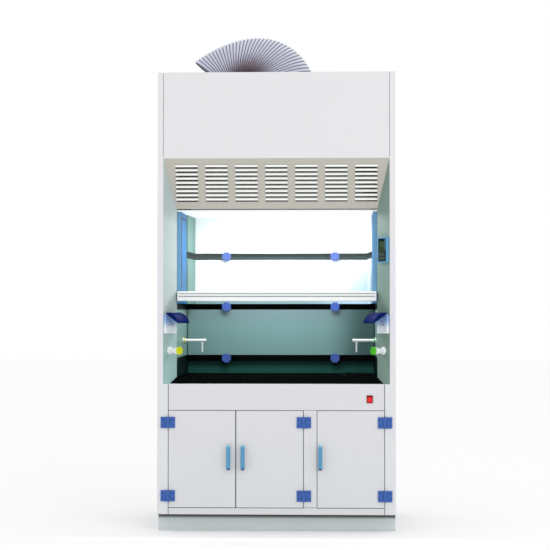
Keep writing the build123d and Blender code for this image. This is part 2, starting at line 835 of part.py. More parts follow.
def sheave(side):
    """Grooved wheel that turns on a fixed axle."""
    groove_r = pulley_pitch_r - cable_r - cable_clearance
    half = pulley_width / 2
    seat = cable_r + pulley_seat_clearance
    with BuildPart() as wheel:
        with BuildSketch(Plane.XY):
            with BuildLine():
                Polyline(
                    (pulley_axle_r + pulley_running_clearance, -half),
                    (pulley_flange_r, -half),
                    (pulley_flange_r, pulley_rim_t - half),
                    (groove_r, -seat),
                    (groove_r, seat),
                    (pulley_flange_r, half - pulley_rim_t),
                    (pulley_flange_r, half),
                    (pulley_axle_r + pulley_running_clearance, half),
                    close=True,
                )
            make_face()
        revolve(axis=Axis.Y)
    return Pos(side * pulley_x, glass_y, pulley_z) * wheel.part


save(counterweight(-1), "counterweight_left")
save(counterweight(1), "counterweight_right")
save(sheave(-1), "pulley_left")
save(sheave(1), "pulley_right")

bracket_half_gap = pulley_width / 2 + bracket_gap
bracket_bottom_z = pulley_z - pulley_axle_r - bracket_foot
with BuildPart() as pulley_brackets:
    for side in (-1, 1):
        x = (side * pulley_x - bracket_half_w, side * pulley_x + bracket_half_w)
        for cheek in (-1, 1):
            cheek_y = span(glass_y + cheek * bracket_half_gap,
                           glass_y + cheek * (bracket_half_gap + bracket_t))
            board(x, cheek_y, (bracket_bottom_z, hood_height - shell_t))
        board(x, (glass_y - bracket_half_gap, glass_y + bracket_half_gap),
              (hood_height - shell_t - bracket_t, hood_height - shell_t))
        with Locations((side * pulley_x, glass_y, pulley_z)):
            Cylinder(pulley_axle_r, 2 * (bracket_half_gap + bracket_t), rotation=(90, 0, 0))
save(pulley_brackets.part, "pulley_brackets")

with BuildPart() as sash_cables:
    for side in (-1, 1):
        sash_end = (side * cable_x, sash_top_z)
        over_start = (side * cable_x, pulley_z)
        over_end = (side * weight_x, pulley_z)
        weight_end = (side * weight_x, weight_top_z)
        with BuildLine(Plane.XZ.offset(-glass_y)) as cable_route:
            Line(sash_end, over_start)
            ThreePointArc(over_start, (side * pulley_x, pulley_z + pulley_pitch_r), over_end)
            Line(over_end, weight_end)
        with BuildSketch(Plane((side * cable_x, glass_y, sash_top_z))):
            Circle(cable_r)
        sweep(path=cable_route.wire())
save(sash_cables.part, "sash_cables")

# ================================ doors, hinges, handles ==========================================
# name, left edge, right edge, hinge side (-1 left, 1 right)
doors = [
    ("left", -cabinet_clear_x, door_meeting_x, -1),
    ("middle", door_meeting_x, mullion_left_x, 1),
    ("right", mullion_right_x, cabinet_clear_x, 1),
]
barrel_y = front_y - hinge_barrel_r
knuckle_h = hinge_height / 3


def hinge_leaf(pivot_x, direction, z_mid, knuckles):
    """One leaf with its barrel knuckles; direction is the way the leaf reaches from the pin."""
    board(
        span(pivot_x + direction * hinge_side_gap, pivot_x + direction * hinge_leaf_reach),
        (front_y - hinge_leaf_t, front_y),
        (z_mid - hinge_height / 2, z_mid + hinge_height / 2),
    )
    for z_low, z_high in knuckles:
        with BuildSketch(Plane.XY.offset(z_low)) as knuckle:
            with Locations((pivot_x, barrel_y)):
                Circle(hinge_barrel_r)
            with Locations((pivot_x + direction * hinge_barrel_r / 2, front_y - hinge_barrel_r / 2)):
                Rectangle(hinge_barrel_r, hinge_barrel_r)
        extrude(knuckle.sketch, amount=z_high - z_low)


def outer_knuckles(z_mid):
    """Top and bottom knuckles, which hold the pin."""
    return [
        (z_mid - hinge_height / 2, z_mid - knuckle_h / 2),
        (z_mid + knuckle_h / 2, z_mid + hinge_height / 2),
    ]


for label, left_x, right_x, hinge_side in doors:
    left_gap = door_meeting_gap / 2 if left_x == door_meeting_x else door_gap
    right_gap = door_meeting_gap / 2 if right_x == door_meeting_x else door_gap
    with BuildPart() as door_leaf:
        board((left_x + left_gap, right_x - right_gap), (front_y, front_y + door_t),
              (carcass_floor_z + door_gap, apron_bottom_z - door_gap))
    save(door_leaf.part, f"door_{label}")

    pivot_x = right_x if hinge_side > 0 else left_x
    with BuildPart() as moving_leaves:
        for z_mid in (hinge_bottom_z, hinge_top_z):
            middle = (z_mid - knuckle_h / 2 + hinge_knuckle_gap, z_mid + knuckle_h / 2 - hinge_knuckle_gap)
            hinge_leaf(pivot_x, -hinge_side, z_mid, [middle])
            # The outer thirds of the leaf stop short of the fixed knuckles.
            for z_low, z_high in outer_knuckles(z_mid):
                relief = span(pivot_x, pivot_x - hinge_side * (hinge_barrel_r + hinge_side_gap))
                board(relief, (front_y - 2 * hinge_barrel_r, front_y), (z_low, z_high),
                      mode=Mode.SUBTRACT)
            with Locations((pivot_x, barrel_y, z_mid)):
                Cylinder(hinge_pin_r + hinge_pin_clearance, hinge_height, mode=Mode.SUBTRACT)
    save(moving_leaves.part, f"hinge_leaves_{label}")

    handle_offset = handle_mullion_offset if label == "right" else handle_edge_offset
    handle_x = left_x + handle_offset if hinge_side > 0 else right_x - handle_offset
    bar_front_y = front_y - handle_bar_reach
    with BuildPart() as bar:
        with BuildSketch(Plane.YZ.offset(handle_x - handle_bar_width / 2)):
            with BuildLine():
                top_z = handle_bar_z + handle_bar_height
                Polyline(
                    (front_y, handle_bar_z),
                    (bar_front_y, handle_bar_z + handle_bar_reach / 2),
                    (bar_front_y, top_z - handle_bar_reach / 2),
                    (front_y, top_z),
                    (front_y, top_z - handle_foot_height),
                    (bar_front_y + handle_bar_t, top_z - handle_bar_reach / 2 - handle_bar_t),
                    (bar_front_y + handle_bar_t, handle_bar_z + handle_bar_reach / 2 + handle_bar_t),
                    (front_y, handle_bar_z + handle_foot_height),
                    close=True,
                )
            make_face()
        extrude(amount=handle_bar_width)
        fillet(bar.edges().filter_by(Axis.X), radius=handle_corner_round)
        fillet(bar.faces().sort_by(Axis.Y)[0].edges(), radius=handle_face_round)
    save(bar.part, f"door_handle_{label}")

with BuildPart() as hinge_leaves_fixed:
    for label, left_x, right_x, hinge_side in doors:
        pivot_x = right_x if hinge_side > 0 else left_x
        for z_mid in (hinge_bottom_z, hinge_top_z):
            hinge_leaf(pivot_x, hinge_side, z_mid, outer_knuckles(z_mid))
            middle = (z_mid - knuckle_h / 2, z_mid + knuckle_h / 2)
            board(span(pivot_x, pivot_x + hinge_side * (hinge_barrel_r + hinge_side_gap)),
                  (front_y - 2 * hinge_barrel_r, front_y), middle, mode=Mode.SUBTRACT)
            # The pin is moulded into the outer knuckles.
            with Locations((pivot_x, barrel_y, z_mid)):
                Cylinder(hinge_pin_r, hinge_height)
save(hinge_leaves_fixed.part, "hinge_leaves_fixed")

# ================================ rocker switch ===================================================
rocker_pivot_y = front_y + rocker_pivot_depth
rocker_end = rocker_height / 2 - rocker_end_clearance
rocker_pin_span = rocker_width + 2 * rocker_pin_length
with BuildPart() as rocker_frame:
    with Locations((rocker_x, front_y - rocker_frame_t / 2, rocker_z)):
        Box(rocker_frame_width, rocker_frame_t, rocker_frame_height)
    with Locations((rocker_x, front_y + rocker_body_depth / 2, rocker_z)):
        Box(rocker_body_w, rocker_body_depth, rocker_body_h)
    with Locations((rocker_x, front_y - rocker_frame_t, rocker_z)):
        Box(rocker_hole_w, 2 * (rocker_body_depth + rocker_frame_t - rocker_floor_t), rocker_hole_h,
            mode=Mode.SUBTRACT)
    # Round sockets in the side walls hold the rocker's pivot pins.
    with BuildSketch(Plane.YZ.offset(rocker_x - rocker_body_w / 2)):
        with Locations((rocker_pivot_y, rocker_z)):
            Circle(rocker_pin_r + rocker_pin_clearance)
    extrude(amount=rocker_body_w, mode=Mode.SUBTRACT)
save(rocker_frame.part, "rocker_frame")

# The cap is drawn level, then tipped about its pivot into one of its two positions.
with BuildPart() as rocker_switch:
    with BuildSketch(Plane.YZ.offset(rocker_x - rocker_width / 2)):
        with BuildLine():
            Polyline(
                (rocker_pivot_y - rocker_end_proud, rocker_z - rocker_end),
                (rocker_pivot_y - rocker_middle_proud, rocker_z),
                (rocker_pivot_y - rocker_end_proud, rocker_z + rocker_end),
                (rocker_pivot_y, rocker_z + rocker_end),
                (rocker_pivot_y + rocker_foot_depth, rocker_z + rocker_foot_half),
                (rocker_pivot_y + rocker_foot_depth, rocker_z - rocker_foot_half),
                (rocker_pivot_y, rocker_z - rocker_end),
                close=True,
            )
        make_face()
    extrude(amount=rocker_width)
    with BuildSketch(Plane.YZ.offset(rocker_x - rocker_pin_span / 2)):
        with Locations((rocker_pivot_y, rocker_z)):
            Circle(rocker_pin_r)
    extrude(amount=rocker_pin_span)
rocker_axis = Axis((0, rocker_pivot_y, rocker_z), (1, 0, 0))
save(rocker_switch.part.rotate(rocker_axis, rocker_tilt_deg), "rocker_switch")

# ================================ services on the splayed walls ===================================
lid_pin_rise = socket_height / 2 + lid_barrel_r
lid_pin_stand_off = socket_t - lid_barrel_r
lug_mid = socket_width / 2 - lug_inset


def lid_axis_plane(side, offset):
    """Plane square to the lid's pin: first axis out of the wall, second down; offset runs along the pin."""
    pin = wall_plane(side, socket_z + lid_pin_rise, lid_pin_stand_off, service_forward)
    return Plane(pin.origin + pin.x_dir * offset, x_dir=pin.z_dir, z_dir=pin.x_dir)


with BuildPart() as socket_boxes:
    for side in (-1, 1):
        with BuildSketch(wall_plane(side, socket_z, 0, service_forward)):
            RectangleRounded(socket_width, socket_height, socket_corner)
        extrude(amount=socket_t)
        with BuildSketch(wall_plane(side, socket_z, socket_t, service_forward)):
            RectangleRounded(socket_recess_width, socket_recess_height, socket_corner)
        extrude(amount=-socket_recess_t, mode=Mode.SUBTRACT)
        with BuildSketch(wall_plane(side, socket_z, socket_t, service_forward)):
            with Locations((0, socket_pin_pitch), (-socket_pin_pitch, -socket_pin_pitch / 2),
                           (socket_pin_pitch, -socket_pin_pitch / 2)):
                Circle(socket_pin_r)
        extrude(amount=-socket_pin_depth, mode=Mode.SUBTRACT)
        # Two lugs above the top edge carry the lid's pin.
        for lug in (-1, 1):
            with BuildSketch(lid_axis_plane(side, lug * lug_mid - lug_width / 2)):
                Circle(lid_barrel_r)
                with Locations((0, lid_barrel_r / 2)):
                    Rectangle(2 * lid_barrel_r, lid_barrel_r)
            extrude(amount=lug_width)
        with BuildSketch(lid_axis_plane(side, -lug_mid)):
            Circle(lid_pin_r)
        extrude(amount=2 * lug_mid)
save(socket_boxes.part, "socket_boxes")


def socket_lid(side):
    """Domed flip lid with closed ends, standing open on its pin."""
    opening = radians(lid_opening_deg)
    up = 1 if lid_axis_plane(side, 0).y_dir.Z > 0 else -1
    lid_in = lid_barrel_r + lid_stand_off
    lid_out = lid_in + lid_t

    def at(out, down):
        """Point of the closed lid, swung open about the pin."""
        swung_up = out * sin(opening) - down * cos(opening)
        return (out * cos(opening) + down * sin(opening), up * swung_up)

    def dome(distance):
        """Arc over the lid's length at a distance from the pin's plane."""
        return (at(distance, 0), at(distance + lid_bulge, lid_length / 2), at(distance, lid_length))

    knuckle_half = lug_mid - lug_width / 2 - lug_gap
    with BuildPart() as lid:
        with BuildSketch(lid_axis_plane(side, -lid_width / 2)):
            with BuildLine():
                ThreePointArc(*dome(lid_out))
                Line(at(lid_out, lid_length), at(lid_in, lid_length))
                Line(at(lid_in, lid_length), at(lid_in, 0))
                Line(at(lid_in, 0), at(lid_out, 0))
            make_face()
        extrude(amount=lid_width)
        with BuildSketch(lid_axis_plane(side, lid_skirt_t - lid_width / 2)):
            with BuildLine():
                ThreePointArc(*dome(lid_in))
                Line(at(lid_in, lid_length), at(lid_in, 0))
            make_face()
        extrude(amount=lid_width - 2 * lid_skirt_t, mode=Mode.SUBTRACT)
        # The middle knuckle wraps the pin between the two lugs.
        with BuildSketch(lid_axis_plane(side, -knuckle_half)):
            Circle(lid_barrel_r - lid_hinge_clearance)
            with BuildLine():
                Polyline(at(0, -lid_barrel_r / 2), at(lid_out, 0), at(lid_out, lid_t), at(0, lid_t),
                         close=True)
            make_face()
        extrude(amount=2 * knuckle_half)
        with BuildSketch(lid_axis_plane(side, -knuckle_half)):
            Circle(lid_pin_r + lid_hinge_clearance)
        extrude(amount=2 * knuckle_half, mode=Mode.SUBTRACT)
    return lid.part


save(socket_lid(-1), "socket_lid_left")
save(socket_lid(1), "socket_lid_right")

valve_stem_end = valve_flange_t + valve_stem_length
with BuildPart() as valve_bodies:
    for side in (-1, 1):
        with BuildSketch(wall_plane(side, valve_z)):
            Circle(valve_flange_r)
        extrude(amount=valve_flange_t)
        with BuildSketch(wall_plane(side, valve_z)):
            Circle(valve_stem_r)
        extrude(amount=valve_stem_end)
        with BuildSketch(wall_plane(side, valve_z, valve_stem_end)):
            Circle(valve_spindle_r)
        extrude(amount=valve_spindle_length)
save(valve_bodies.part, "valve_bodies")


def valve_knob(side):
    """Tapered hand knob with a capped end and an index bar, blind-bored for the spindle."""
    seat = valve_stem_end + valve_knob_gap
    skirt_end = seat + valve_skirt_length
    cap_start = skirt_end + valve_neck_length
    cap_end = cap_start + valve_cap_length
    with BuildPart() as knob:
        with BuildSketch(wall_plane(side, valve_z, cap_start)):
            Circle(valve_cap_r)
        extrude(amount=valve_cap_length)
        outward = Axis((0, 0, 0), (-side * splay_cos, -splay_sin, 0))
        fillet(knob.faces().sort_by(outward)[-1].edges(), radius=valve_cap_round)
        with BuildSketch(wall_plane(side, valve_z, seat)):
            Circle(valve_skirt_root_r)
        with BuildSketch(wall_plane(side, valve_z, skirt_end)):
            Circle(valve_skirt_r)
        loft()
        with BuildSketch(wall_plane(side, valve_z, skirt_end)):
            Circle(valve_neck_r)
        extrude(amount=valve_neck_length)
        with BuildSketch(wall_plane(side, valve_z, cap_end)):
            Circle(valve_dish_r)
            Rectangle(valve_index_width, valve_index_length, mode=Mode.SUBTRACT)
        extrude(amount=-valve_dish_depth, mode=Mode.SUBTRACT)
        with BuildSketch(wall_plane(side, valve_z, seat)):
            Circle(valve_spindle_r + valve_spindle_clearance)
        extrude(amount=valve_spindle_length, mode=Mode.SUBTRACT)
    return knob.part


save(valve_knob(-1), "valve_knob_left")
save(valve_knob(1), "valve_knob_right")

# Airflow controller on the right-hand wall: frame, display window and key pad.
display_shift = panel_height / 2 - panel_border - display_height / 2
keypad_shift = -panel_height / 2 + panel_border + keypad_height / 2
panel_seat = panel_t - panel_inlay_t
with BuildPart() as control_panel:
    with BuildSketch(wall_plane(1, panel_z, 0, service_forward)):
        RectangleRounded(panel_width, panel_height, panel_corner)
    extrude(amount=panel_t)
    with BuildSketch(wall_plane(1, panel_z, panel_t, service_forward)):
        with Locations((panel_shift, display_shift)):
            Rectangle(display_width, display_height)
        with Locations((panel_shift, keypad_shift)):
            Rectangle(keypad_width, keypad_height)
    extrude(amount=-panel_inlay_t, mode=Mode.SUBTRACT)
save(control_panel.part, "control_panel")

with BuildPart() as control_display:
    with BuildSketch(wall_plane(1, panel_z, panel_seat, service_forward)):
        with Locations((panel_shift, display_shift)):
            Rectangle(display_width, display_height)
    extrude(amount=panel_inlay_t - display_recess)
save(control_display.part, "control_display")

with BuildPart() as control_keypad:
    with BuildSketch(wall_plane(1, panel_z, panel_seat, service_forward)):
        with Locations((panel_shift, keypad_shift)):
            Rectangle(keypad_width, keypad_height)
    extrude(amount=panel_inlay_t)
save(control_keypad.part, "control_keypad")

# ================================ outlets =========================================================
barb_step = (outlet_nozzle_drop - outlet_socket_drop) / outlet_barbs
with BuildPart() as outlet_arms:
    for side in (-1, 1):
        wall = Plane((side * chamber_half_w, outlet_y, outlet_z), x_dir=(0, 1, 0), z_dir=(-side, 0, 0))
        with BuildSketch(wall):
            Circle(outlet_flange_r)
        extrude(amount=outlet_flange_t)
        with BuildSketch(wall):
            Circle(outlet_arm_r)
        extrude(amount=outlet_arm_length)
        nozzle_x = side * (chamber_half_w - outlet_arm_length + outlet_nozzle_inset)
        with BuildSketch(Plane((nozzle_x, outlet_y, outlet_z), x_dir=(1, 0, 0), z_dir=(0, -1, 0))):
            with BuildLine():
                profile = [(0, 0), (outlet_socket_r, 0), (outlet_socket_r, -outlet_socket_drop)]
                for barb in range(outlet_barbs):
                    barb_top = -outlet_socket_drop - barb * barb_step
                    profile.append((outlet_barb_r, barb_top))
                    profile.append((outlet_barb_root_r, barb_top - barb_step))
                Polyline(*profile, (0, -outlet_nozzle_drop), close=True)
            make_face()
        revolve(axis=Axis((nozzle_x, outlet_y, outlet_z), (0, 0, 1)))
save(outlet_arms.part, "outlet_arms")
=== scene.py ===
"""Looks of the ducted fume hood: its finishes, pleated duct, cables, painted seam shade and joint beads,
handles and service details.
"""

import logging
import math
from dataclasses import dataclass
from enum import Enum
from typing import Any

import bmesh
import bpy
import numpy as np
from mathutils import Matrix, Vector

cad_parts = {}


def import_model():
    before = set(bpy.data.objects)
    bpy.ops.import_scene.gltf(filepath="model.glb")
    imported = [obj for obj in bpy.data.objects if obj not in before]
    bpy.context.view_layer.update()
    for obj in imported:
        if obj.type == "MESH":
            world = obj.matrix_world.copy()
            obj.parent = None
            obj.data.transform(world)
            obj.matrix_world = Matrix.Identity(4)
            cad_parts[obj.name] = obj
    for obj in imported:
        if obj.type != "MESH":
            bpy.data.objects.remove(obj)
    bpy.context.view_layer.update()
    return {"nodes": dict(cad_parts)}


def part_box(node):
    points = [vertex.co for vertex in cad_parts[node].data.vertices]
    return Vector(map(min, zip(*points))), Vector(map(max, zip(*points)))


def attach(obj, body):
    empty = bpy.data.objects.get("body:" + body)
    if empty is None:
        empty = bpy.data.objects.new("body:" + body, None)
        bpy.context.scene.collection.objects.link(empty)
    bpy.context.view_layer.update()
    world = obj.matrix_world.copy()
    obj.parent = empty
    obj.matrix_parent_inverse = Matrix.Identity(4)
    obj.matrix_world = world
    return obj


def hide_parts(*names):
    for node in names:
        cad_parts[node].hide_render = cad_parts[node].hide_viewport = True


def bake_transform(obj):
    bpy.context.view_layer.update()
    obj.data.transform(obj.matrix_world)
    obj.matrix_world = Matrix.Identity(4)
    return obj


log = logging.getLogger("fume_hood")
Shade = tuple[int, int, int]
Point = tuple[float, float, float]
Grid = tuple[np.ndarray, bool, bool]
SIDE_Y = np.array([0.0, 1.0, 0.0])
FRONT = np.array([0.0, -1.0, 0.0])
UP = np.array([0.0, 0.0, 1.0])
# Width of a chase across the hood.
CHASE_WIDTH = 0.021
# Middle of the right splayed wall's face, in X and Y, and how far the services sit along it from there.
SPLAY_MIDDLE = (0.542, -0.385)
SERVICE_SHIFT = 0.006


def linear(colour: Shade) -> tuple[float, ...]:
    """Turns a colour of 0 to 255 per channel into the linear values that a shader takes.

    Args:
        colour: Red, green and blue channels.

    Returns:
        The linear colour, with an alpha of one.
    """
    channels = np.array(colour) / 255.0
    values = np.where(channels <= 0.04045, channels / 12.92, ((channels + 0.055) / 1.055) ** 2.4)
    return (*(float(value) for value in values), 1.0)


def corners(node: str) -> tuple[np.ndarray, np.ndarray]:
    """Low and high corner of the space that a CAD node fills, as arrays."""
    low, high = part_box(node)
    return np.array(low), np.array(high)


class Graph:
    """Node graph of one material; each input takes a constant or another node's output."""

    def __init__(self, name: str) -> None:
        """Starts the material with its standard shader, read in Object coordinates.

        Args:
            name: The material's name.
        """
        self.material = bpy.data.materials.new(name)
        self.material.use_nodes = True
        self.shader = self.material.node_tree.nodes["Principled BSDF"]
        self.place = self.add("TexCoord", {}).outputs["Object"]

    def feed(self, node: bpy.types.Node, inputs: dict[str | int, Any]) -> None:
        """Sets or links inputs of a node.

        Args:
            node: The node.
            inputs: A constant, or the output that feeds it, by the input's name or number.
        """
        for key, value in inputs.items():
            if isinstance(value, bpy.types.NodeSocket):
                self.material.node_tree.links.new(value, node.inputs[key])
            else:
                node.inputs[key].default_value = value

    def add(self, kind: str, inputs: dict[str | int, Any], **settings: str) -> bpy.types.Node:
        """Adds a shader node.

        Args:
            kind: The node's type, without its ShaderNode prefix.
            inputs: What its inputs take, as in feed.
            settings: Its own options, which are set before its inputs.

        Returns:
            The node.
        """
        node = self.material.node_tree.nodes.new(f"ShaderNode{kind}")
        for key, value in settings.items():
            setattr(node, key, value)
        self.feed(node, inputs)
        return node


class Grain(Enum):
    """Surface texture of a finish."""

    ORANGE_PEEL = "orange_peel"
    BRUSHED = "brushed"
    CAST = "cast"
    POLISHED = "polished"


@dataclass(frozen=True)
class Layer:
    """A colour that takes over smoothly as a position, or a piece's own attribute, passes a range."""

    colour: Shade
    start: float
    end: float
    along: Point = (0.0, 0.0, 1.0)
    attribute: str = ""


@dataclass(frozen=True)
class Finish:
    """A procedural finish: a base colour under layers, mottled, with grain and uneven gloss.

    Broad noise moves the colour towards a slightly darker tone and sets the roughness. Fine noise
    sets the bump.
    """

    name: str
    base: Shade
    layers: tuple[Layer, ...] = ()
    mottle: float = 0.04
    mottle_scale: float = 3.0
    rough: tuple[float, float] = (0.34, 0.44)
    grain: Grain = Grain.ORANGE_PEEL
    grain_scale: float = 420.0
    grain_depth: float = 0.00003
    metallic: float = 0.0
    alpha: float = 1.0
    glow: Point | None = None
    glow_strength: float = 0.0
    specular: float = 0.3

    def make(self) -> bpy.types.Material:
        """Builds the node material.

        Returns:
            The finished material.
        """
        graph = Graph(self.name)
        broad = graph.add("TexNoise", {"Scale": self.mottle_scale, "Detail": 4.0, "Vector": graph.place})
        amount = broad.outputs["Fac"]
        shade = 1.0 - self.mottle
        darker = (shade, shade, shade, 1.0)
        mixed = {"A": self._layered(graph), "B": darker, "Factor": amount}
        worn = graph.add("Mix", mixed, data_type="RGBA", blend_type="MULTIPLY")
        gloss = graph.add("MapRange", {"To Min": self.rough[0], "To Max": self.rough[1], "Value": amount})
        bump = graph.add("Bump", {"Distance": self.grain_depth, "Height": self._grain_noise(graph)})
        graph.feed(
            graph.shader,
            {
                "Metallic": self.metallic,
                "Specular IOR Level": self.specular,
                "Alpha": self.alpha,
                "Base Color": worn.outputs["Result"],
                "Roughness": gloss.outputs["Result"],
                "Normal": bump.outputs["Normal"],
            },
        )
        if self.glow is not None:
            glow = (*self.glow, 1.0)
            graph.feed(graph.shader, {"Emission Color": glow, "Emission Strength": self.glow_strength})
        return graph.material

    def _layered(self, graph: Graph) -> tuple[float, ...] | bpy.types.NodeSocket:
        """Lays each layer over the base in turn.

        Args:
            graph: The material's graph.

        Returns:
            The colour output, or the base colour if there are no layers.
        """
        tone = linear(self.base)
        for layer in self.layers:
            if layer.attribute:
                value = graph.add("Attribute", {}, attribute_name=layer.attribute).outputs["Fac"]
            else:
                along = {0: graph.place, 1: layer.along}
                value = graph.add("VectorMath", along, operation="DOT_PRODUCT").outputs["Value"]
            limits = {"From Min": layer.start, "From Max": layer.end, "Value": value}
            share = graph.add("MapRange", limits, interpolation_type="SMOOTHSTEP").outputs["Result"]
            mixed = {"A": tone, "B": linear(layer.colour), "Factor": share}
            tone = graph.add("Mix", mixed, data_type="RGBA").outputs["Result"]
        return tone

    def _grain_noise(self, graph: Graph) -> bpy.types.NodeSocket:
        """Fine noise, stretched along X where the metal is brushed.

        Args:
            graph: The material's graph.

        Returns:
            The noise output.
        """
        scale = (0.04, 1.0, 1.0) if self.grain is Grain.BRUSHED else (1.0, 1.0, 1.0)
        stretched = graph.add("Mapping", {"Vector": graph.place, "Scale": scale}).outputs["Vector"]
        detail = 6.0 if self.grain is Grain.CAST else 2.0
        fine = graph.add("TexNoise", {"Scale": self.grain_scale, "Detail": detail, "Vector": stretched})
        return fine.outputs["Fac"]


# Directions that layers run along and pieces face. The splayed walls stand at a 3-4-5 slant.
X_AXIS: Point = (1.0, 0.0, 0.0)
Y_AXIS: Point = (0.0, 1.0, 0.0)
LOUVRE_OUT: Point = (0.0, -0.9528, -0.3037)
WALL_OUT_LEFT: Point = (0.8, -0.6, 0.0)
WALL_OUT_RIGHT: Point = (-0.8, -0.6, 0.0)

# Painted light: the white sheet turns a little lighter from about 1.2 m up.
WHITE_SHEET = Finish("white_sheet", (220, 220, 224), (Layer((223, 223, 225), 1.2, 1.9),), mottle=0.02)
# Painted light: the posts turn a little lighter and bluer towards the top.
POST_SHEET = Finish(
    "post_sheet", (219, 220, 224),
    (Layer((220, 220, 226), 0.9, 1.1), Layer((225, 223, 226), 1.3, 1.8)), mottle=0.03, mottle_scale=5.0,
)
# Painted light: the doors, apron and rails turn a shade lighter and bluer from about 0.3 m up.
DOOR_SHEET = Finish("door_sheet", (214, 215, 217), (Layer((215, 215, 219), 0.3, 0.6),), mottle=0.02)
# Painted shadow: the top of the recessed plinth is dark green-grey, in the shade under the cabinet.
PLINTH_SHEET = Finish("plinth_sheet", (207, 215, 217), (Layer((70, 84, 74), 0.056, 0.074),), mottle=0.08)
# Painted shade: the dark base fills the gaps between the blades, the beige is the downward-facing sheet in
# shade, and the grey-green darkens the blades next to the sheet; the white of the blades' fronts is their own
# colour.
LOUVRE_SHEET = Finish(
    "louvre_sheet", (58, 66, 60),
    (
        Layer((186, 183, 173), -0.1664, -0.1660, LOUVRE_OUT),
        Layer((92, 108, 94), -0.1654, -0.1651, LOUVRE_OUT),
        Layer((246, 246, 244), -0.1645, -0.1634, LOUVRE_OUT),
    ),
    mottle=0.03,
)
# Painted light and shade: lighter from about 1 m up, and darker green-grey across the right-hand side, which
# the light reaches less.
SPLAY_SHEET = Finish(
    "splay_sheet", (150, 182, 178),
    (
        Layer((176, 190, 188), 0.85, 1.15),
        Layer((122, 144, 134), -0.1, 0.1, X_AXIS),
    ),
    rough=(0.25, 0.35),
)
# Painted light: the ceiling panel glows faintly, though it is no lamp.
UPPER_INTERIOR = Finish(
    "upper_interior", (246, 250, 251), rough=(0.3, 0.4), mottle=0.02, glow=(1.0, 1.0, 1.0), glow_strength=0.35
)
# Painted reflection: the teal side wall mirrored in the glossy baffles, at their left ends.
SIDE_WALL_REFLECTION = Layer((104, 140, 132), 0.464, 0.467, (-1.0, 0.0, 0.0))
TOP_BAFFLE = Finish(
    "top_baffle", (246, 250, 251), (SIDE_WALL_REFLECTION,), rough=(0.4, 0.5), mottle=0.02, specular=0.05
)
# Painted shade: teal below about 1.2 m, white above where the lamp lights it; painted light makes the lower
# right paler blue.
UPPER_BAFFLE = Finish(
    "upper_baffle", (128, 156, 159),
    (Layer((246, 250, 251), 1.17, 1.21), Layer((186, 208, 222), -0.74, -0.5, (0.7, 0.0, -0.7)), SIDE_WALL_REFLECTION),
    rough=(0.4, 0.5), mottle=0.02, specular=0.05,
)
# Painted shade: the liners are near black below about 0.87 m and in a band just under the sash handle, as its
# painted shadow, and teal between and above.
LINER_GREY = Finish(
    "liner_grey", (8, 22, 18),
    (
        Layer((118, 150, 142), 0.867, 0.872),
        Layer((6, 10, 10), 1.113, 1.118),
        Layer((118, 150, 142), 1.145, 1.150),
    ),
    rough=(0.3, 0.4), specular=0.1,
)
PLENUM_GREY = Finish("plenum_grey", (150, 158, 156), rough=(0.35, 0.5))
# Painted shade: the lower baffle turns a little darker from about 1.1 m up and much darker towards the right.
LOWER_INTERIOR = Finish(
    "lower_interior", (112, 148, 147),
    (Layer((112, 138, 140), 1.0, 1.11), Layer((60, 90, 88), 0.24, 0.46, X_AXIS)),
    rough=(0.3, 0.4),
)
# Painted shade: the bottom baffle is dark teal, and near black from about 0.8 m up, under the slot above it.
BOTTOM_INTERIOR = Finish(
    "bottom_interior", (32, 78, 70), (Layer((10, 36, 32), 0.79, 0.825),), rough=(0.5, 0.6), specular=0.05
)
# Painted shade and lamp light: the back panel is near black behind the baffles, with a teal band of painted
# lamp light from about 1.38 m to 1.41 m that shows through the upper slot; its outer back face keeps its own
# white.
BACK_SHEET = Finish(
    "back_sheet", (3, 5, 5),
    (
        Layer((142, 206, 198), 1.376, 1.380),
        Layer((3, 5, 5), 1.407, 1.410),
        Layer((226, 226, 230), 0.416, 0.421, Y_AXIS),
    ),
    mottle=0.03, specular=0.1,
)
# Painted shade: the baffle rails are near black so that the slots read as dark.
RAIL_SHADE = Finish("rail_shade", (4, 7, 7), rough=(0.5, 0.6), specular=0.1)
WORKTOP_BLACK = Finish(
    "worktop_black", (8, 13, 11), rough=(0.5, 0.62), grain_scale=900.0, grain=Grain.POLISHED, mottle=0.3,
    specular=0.0,
)
# Painted light and shade: paler blue at the front of the chases, where light falls, and deeper blue on the
# shaded faces behind.
CHASE_BLUE = Finish(
    "chase_blue", (36, 98, 148), (Layer((98, 160, 206), 0.312, 0.314, (0.0, -1.0, 0.0)),),
    rough=(0.45, 0.55), specular=0.02,
)
# Painted shade: dark navy for the shadow gap down the chases' front edge and the shaded slot.
CHASE_SHADE = Finish(
    "chase_shade", (10, 40, 84), rough=(0.45, 0.55), mottle=0.2, mottle_scale=20.0, specular=0.02
)
HINGE_BLUE = Finish("hinge_blue", (58, 100, 176), rough=(0.3, 0.42), mottle=0.12, mottle_scale=30.0)
HINGE_DARK = Finish("hinge_dark", (30, 50, 120), rough=(0.35, 0.5), mottle=0.2, mottle_scale=60.0)
# Painted shade and highlight: navy at the foot, where the handle is in shade, and pale cyan at the top, where
# light catches it; the blue between is its own colour.
HANDLE_BLUE = Finish(
    "handle_blue", (44, 74, 140),
    (Layer((86, 150, 190), 0.316, 0.322), Layer((140, 204, 226), 0.424, 0.432)),
    rough=(0.25, 0.35), mottle=0.08, mottle_scale=30.0,
)
KNOB_BLUE = Finish("knob_blue", (64, 92, 170), rough=(0.3, 0.4), mottle=0.12, mottle_scale=40.0)
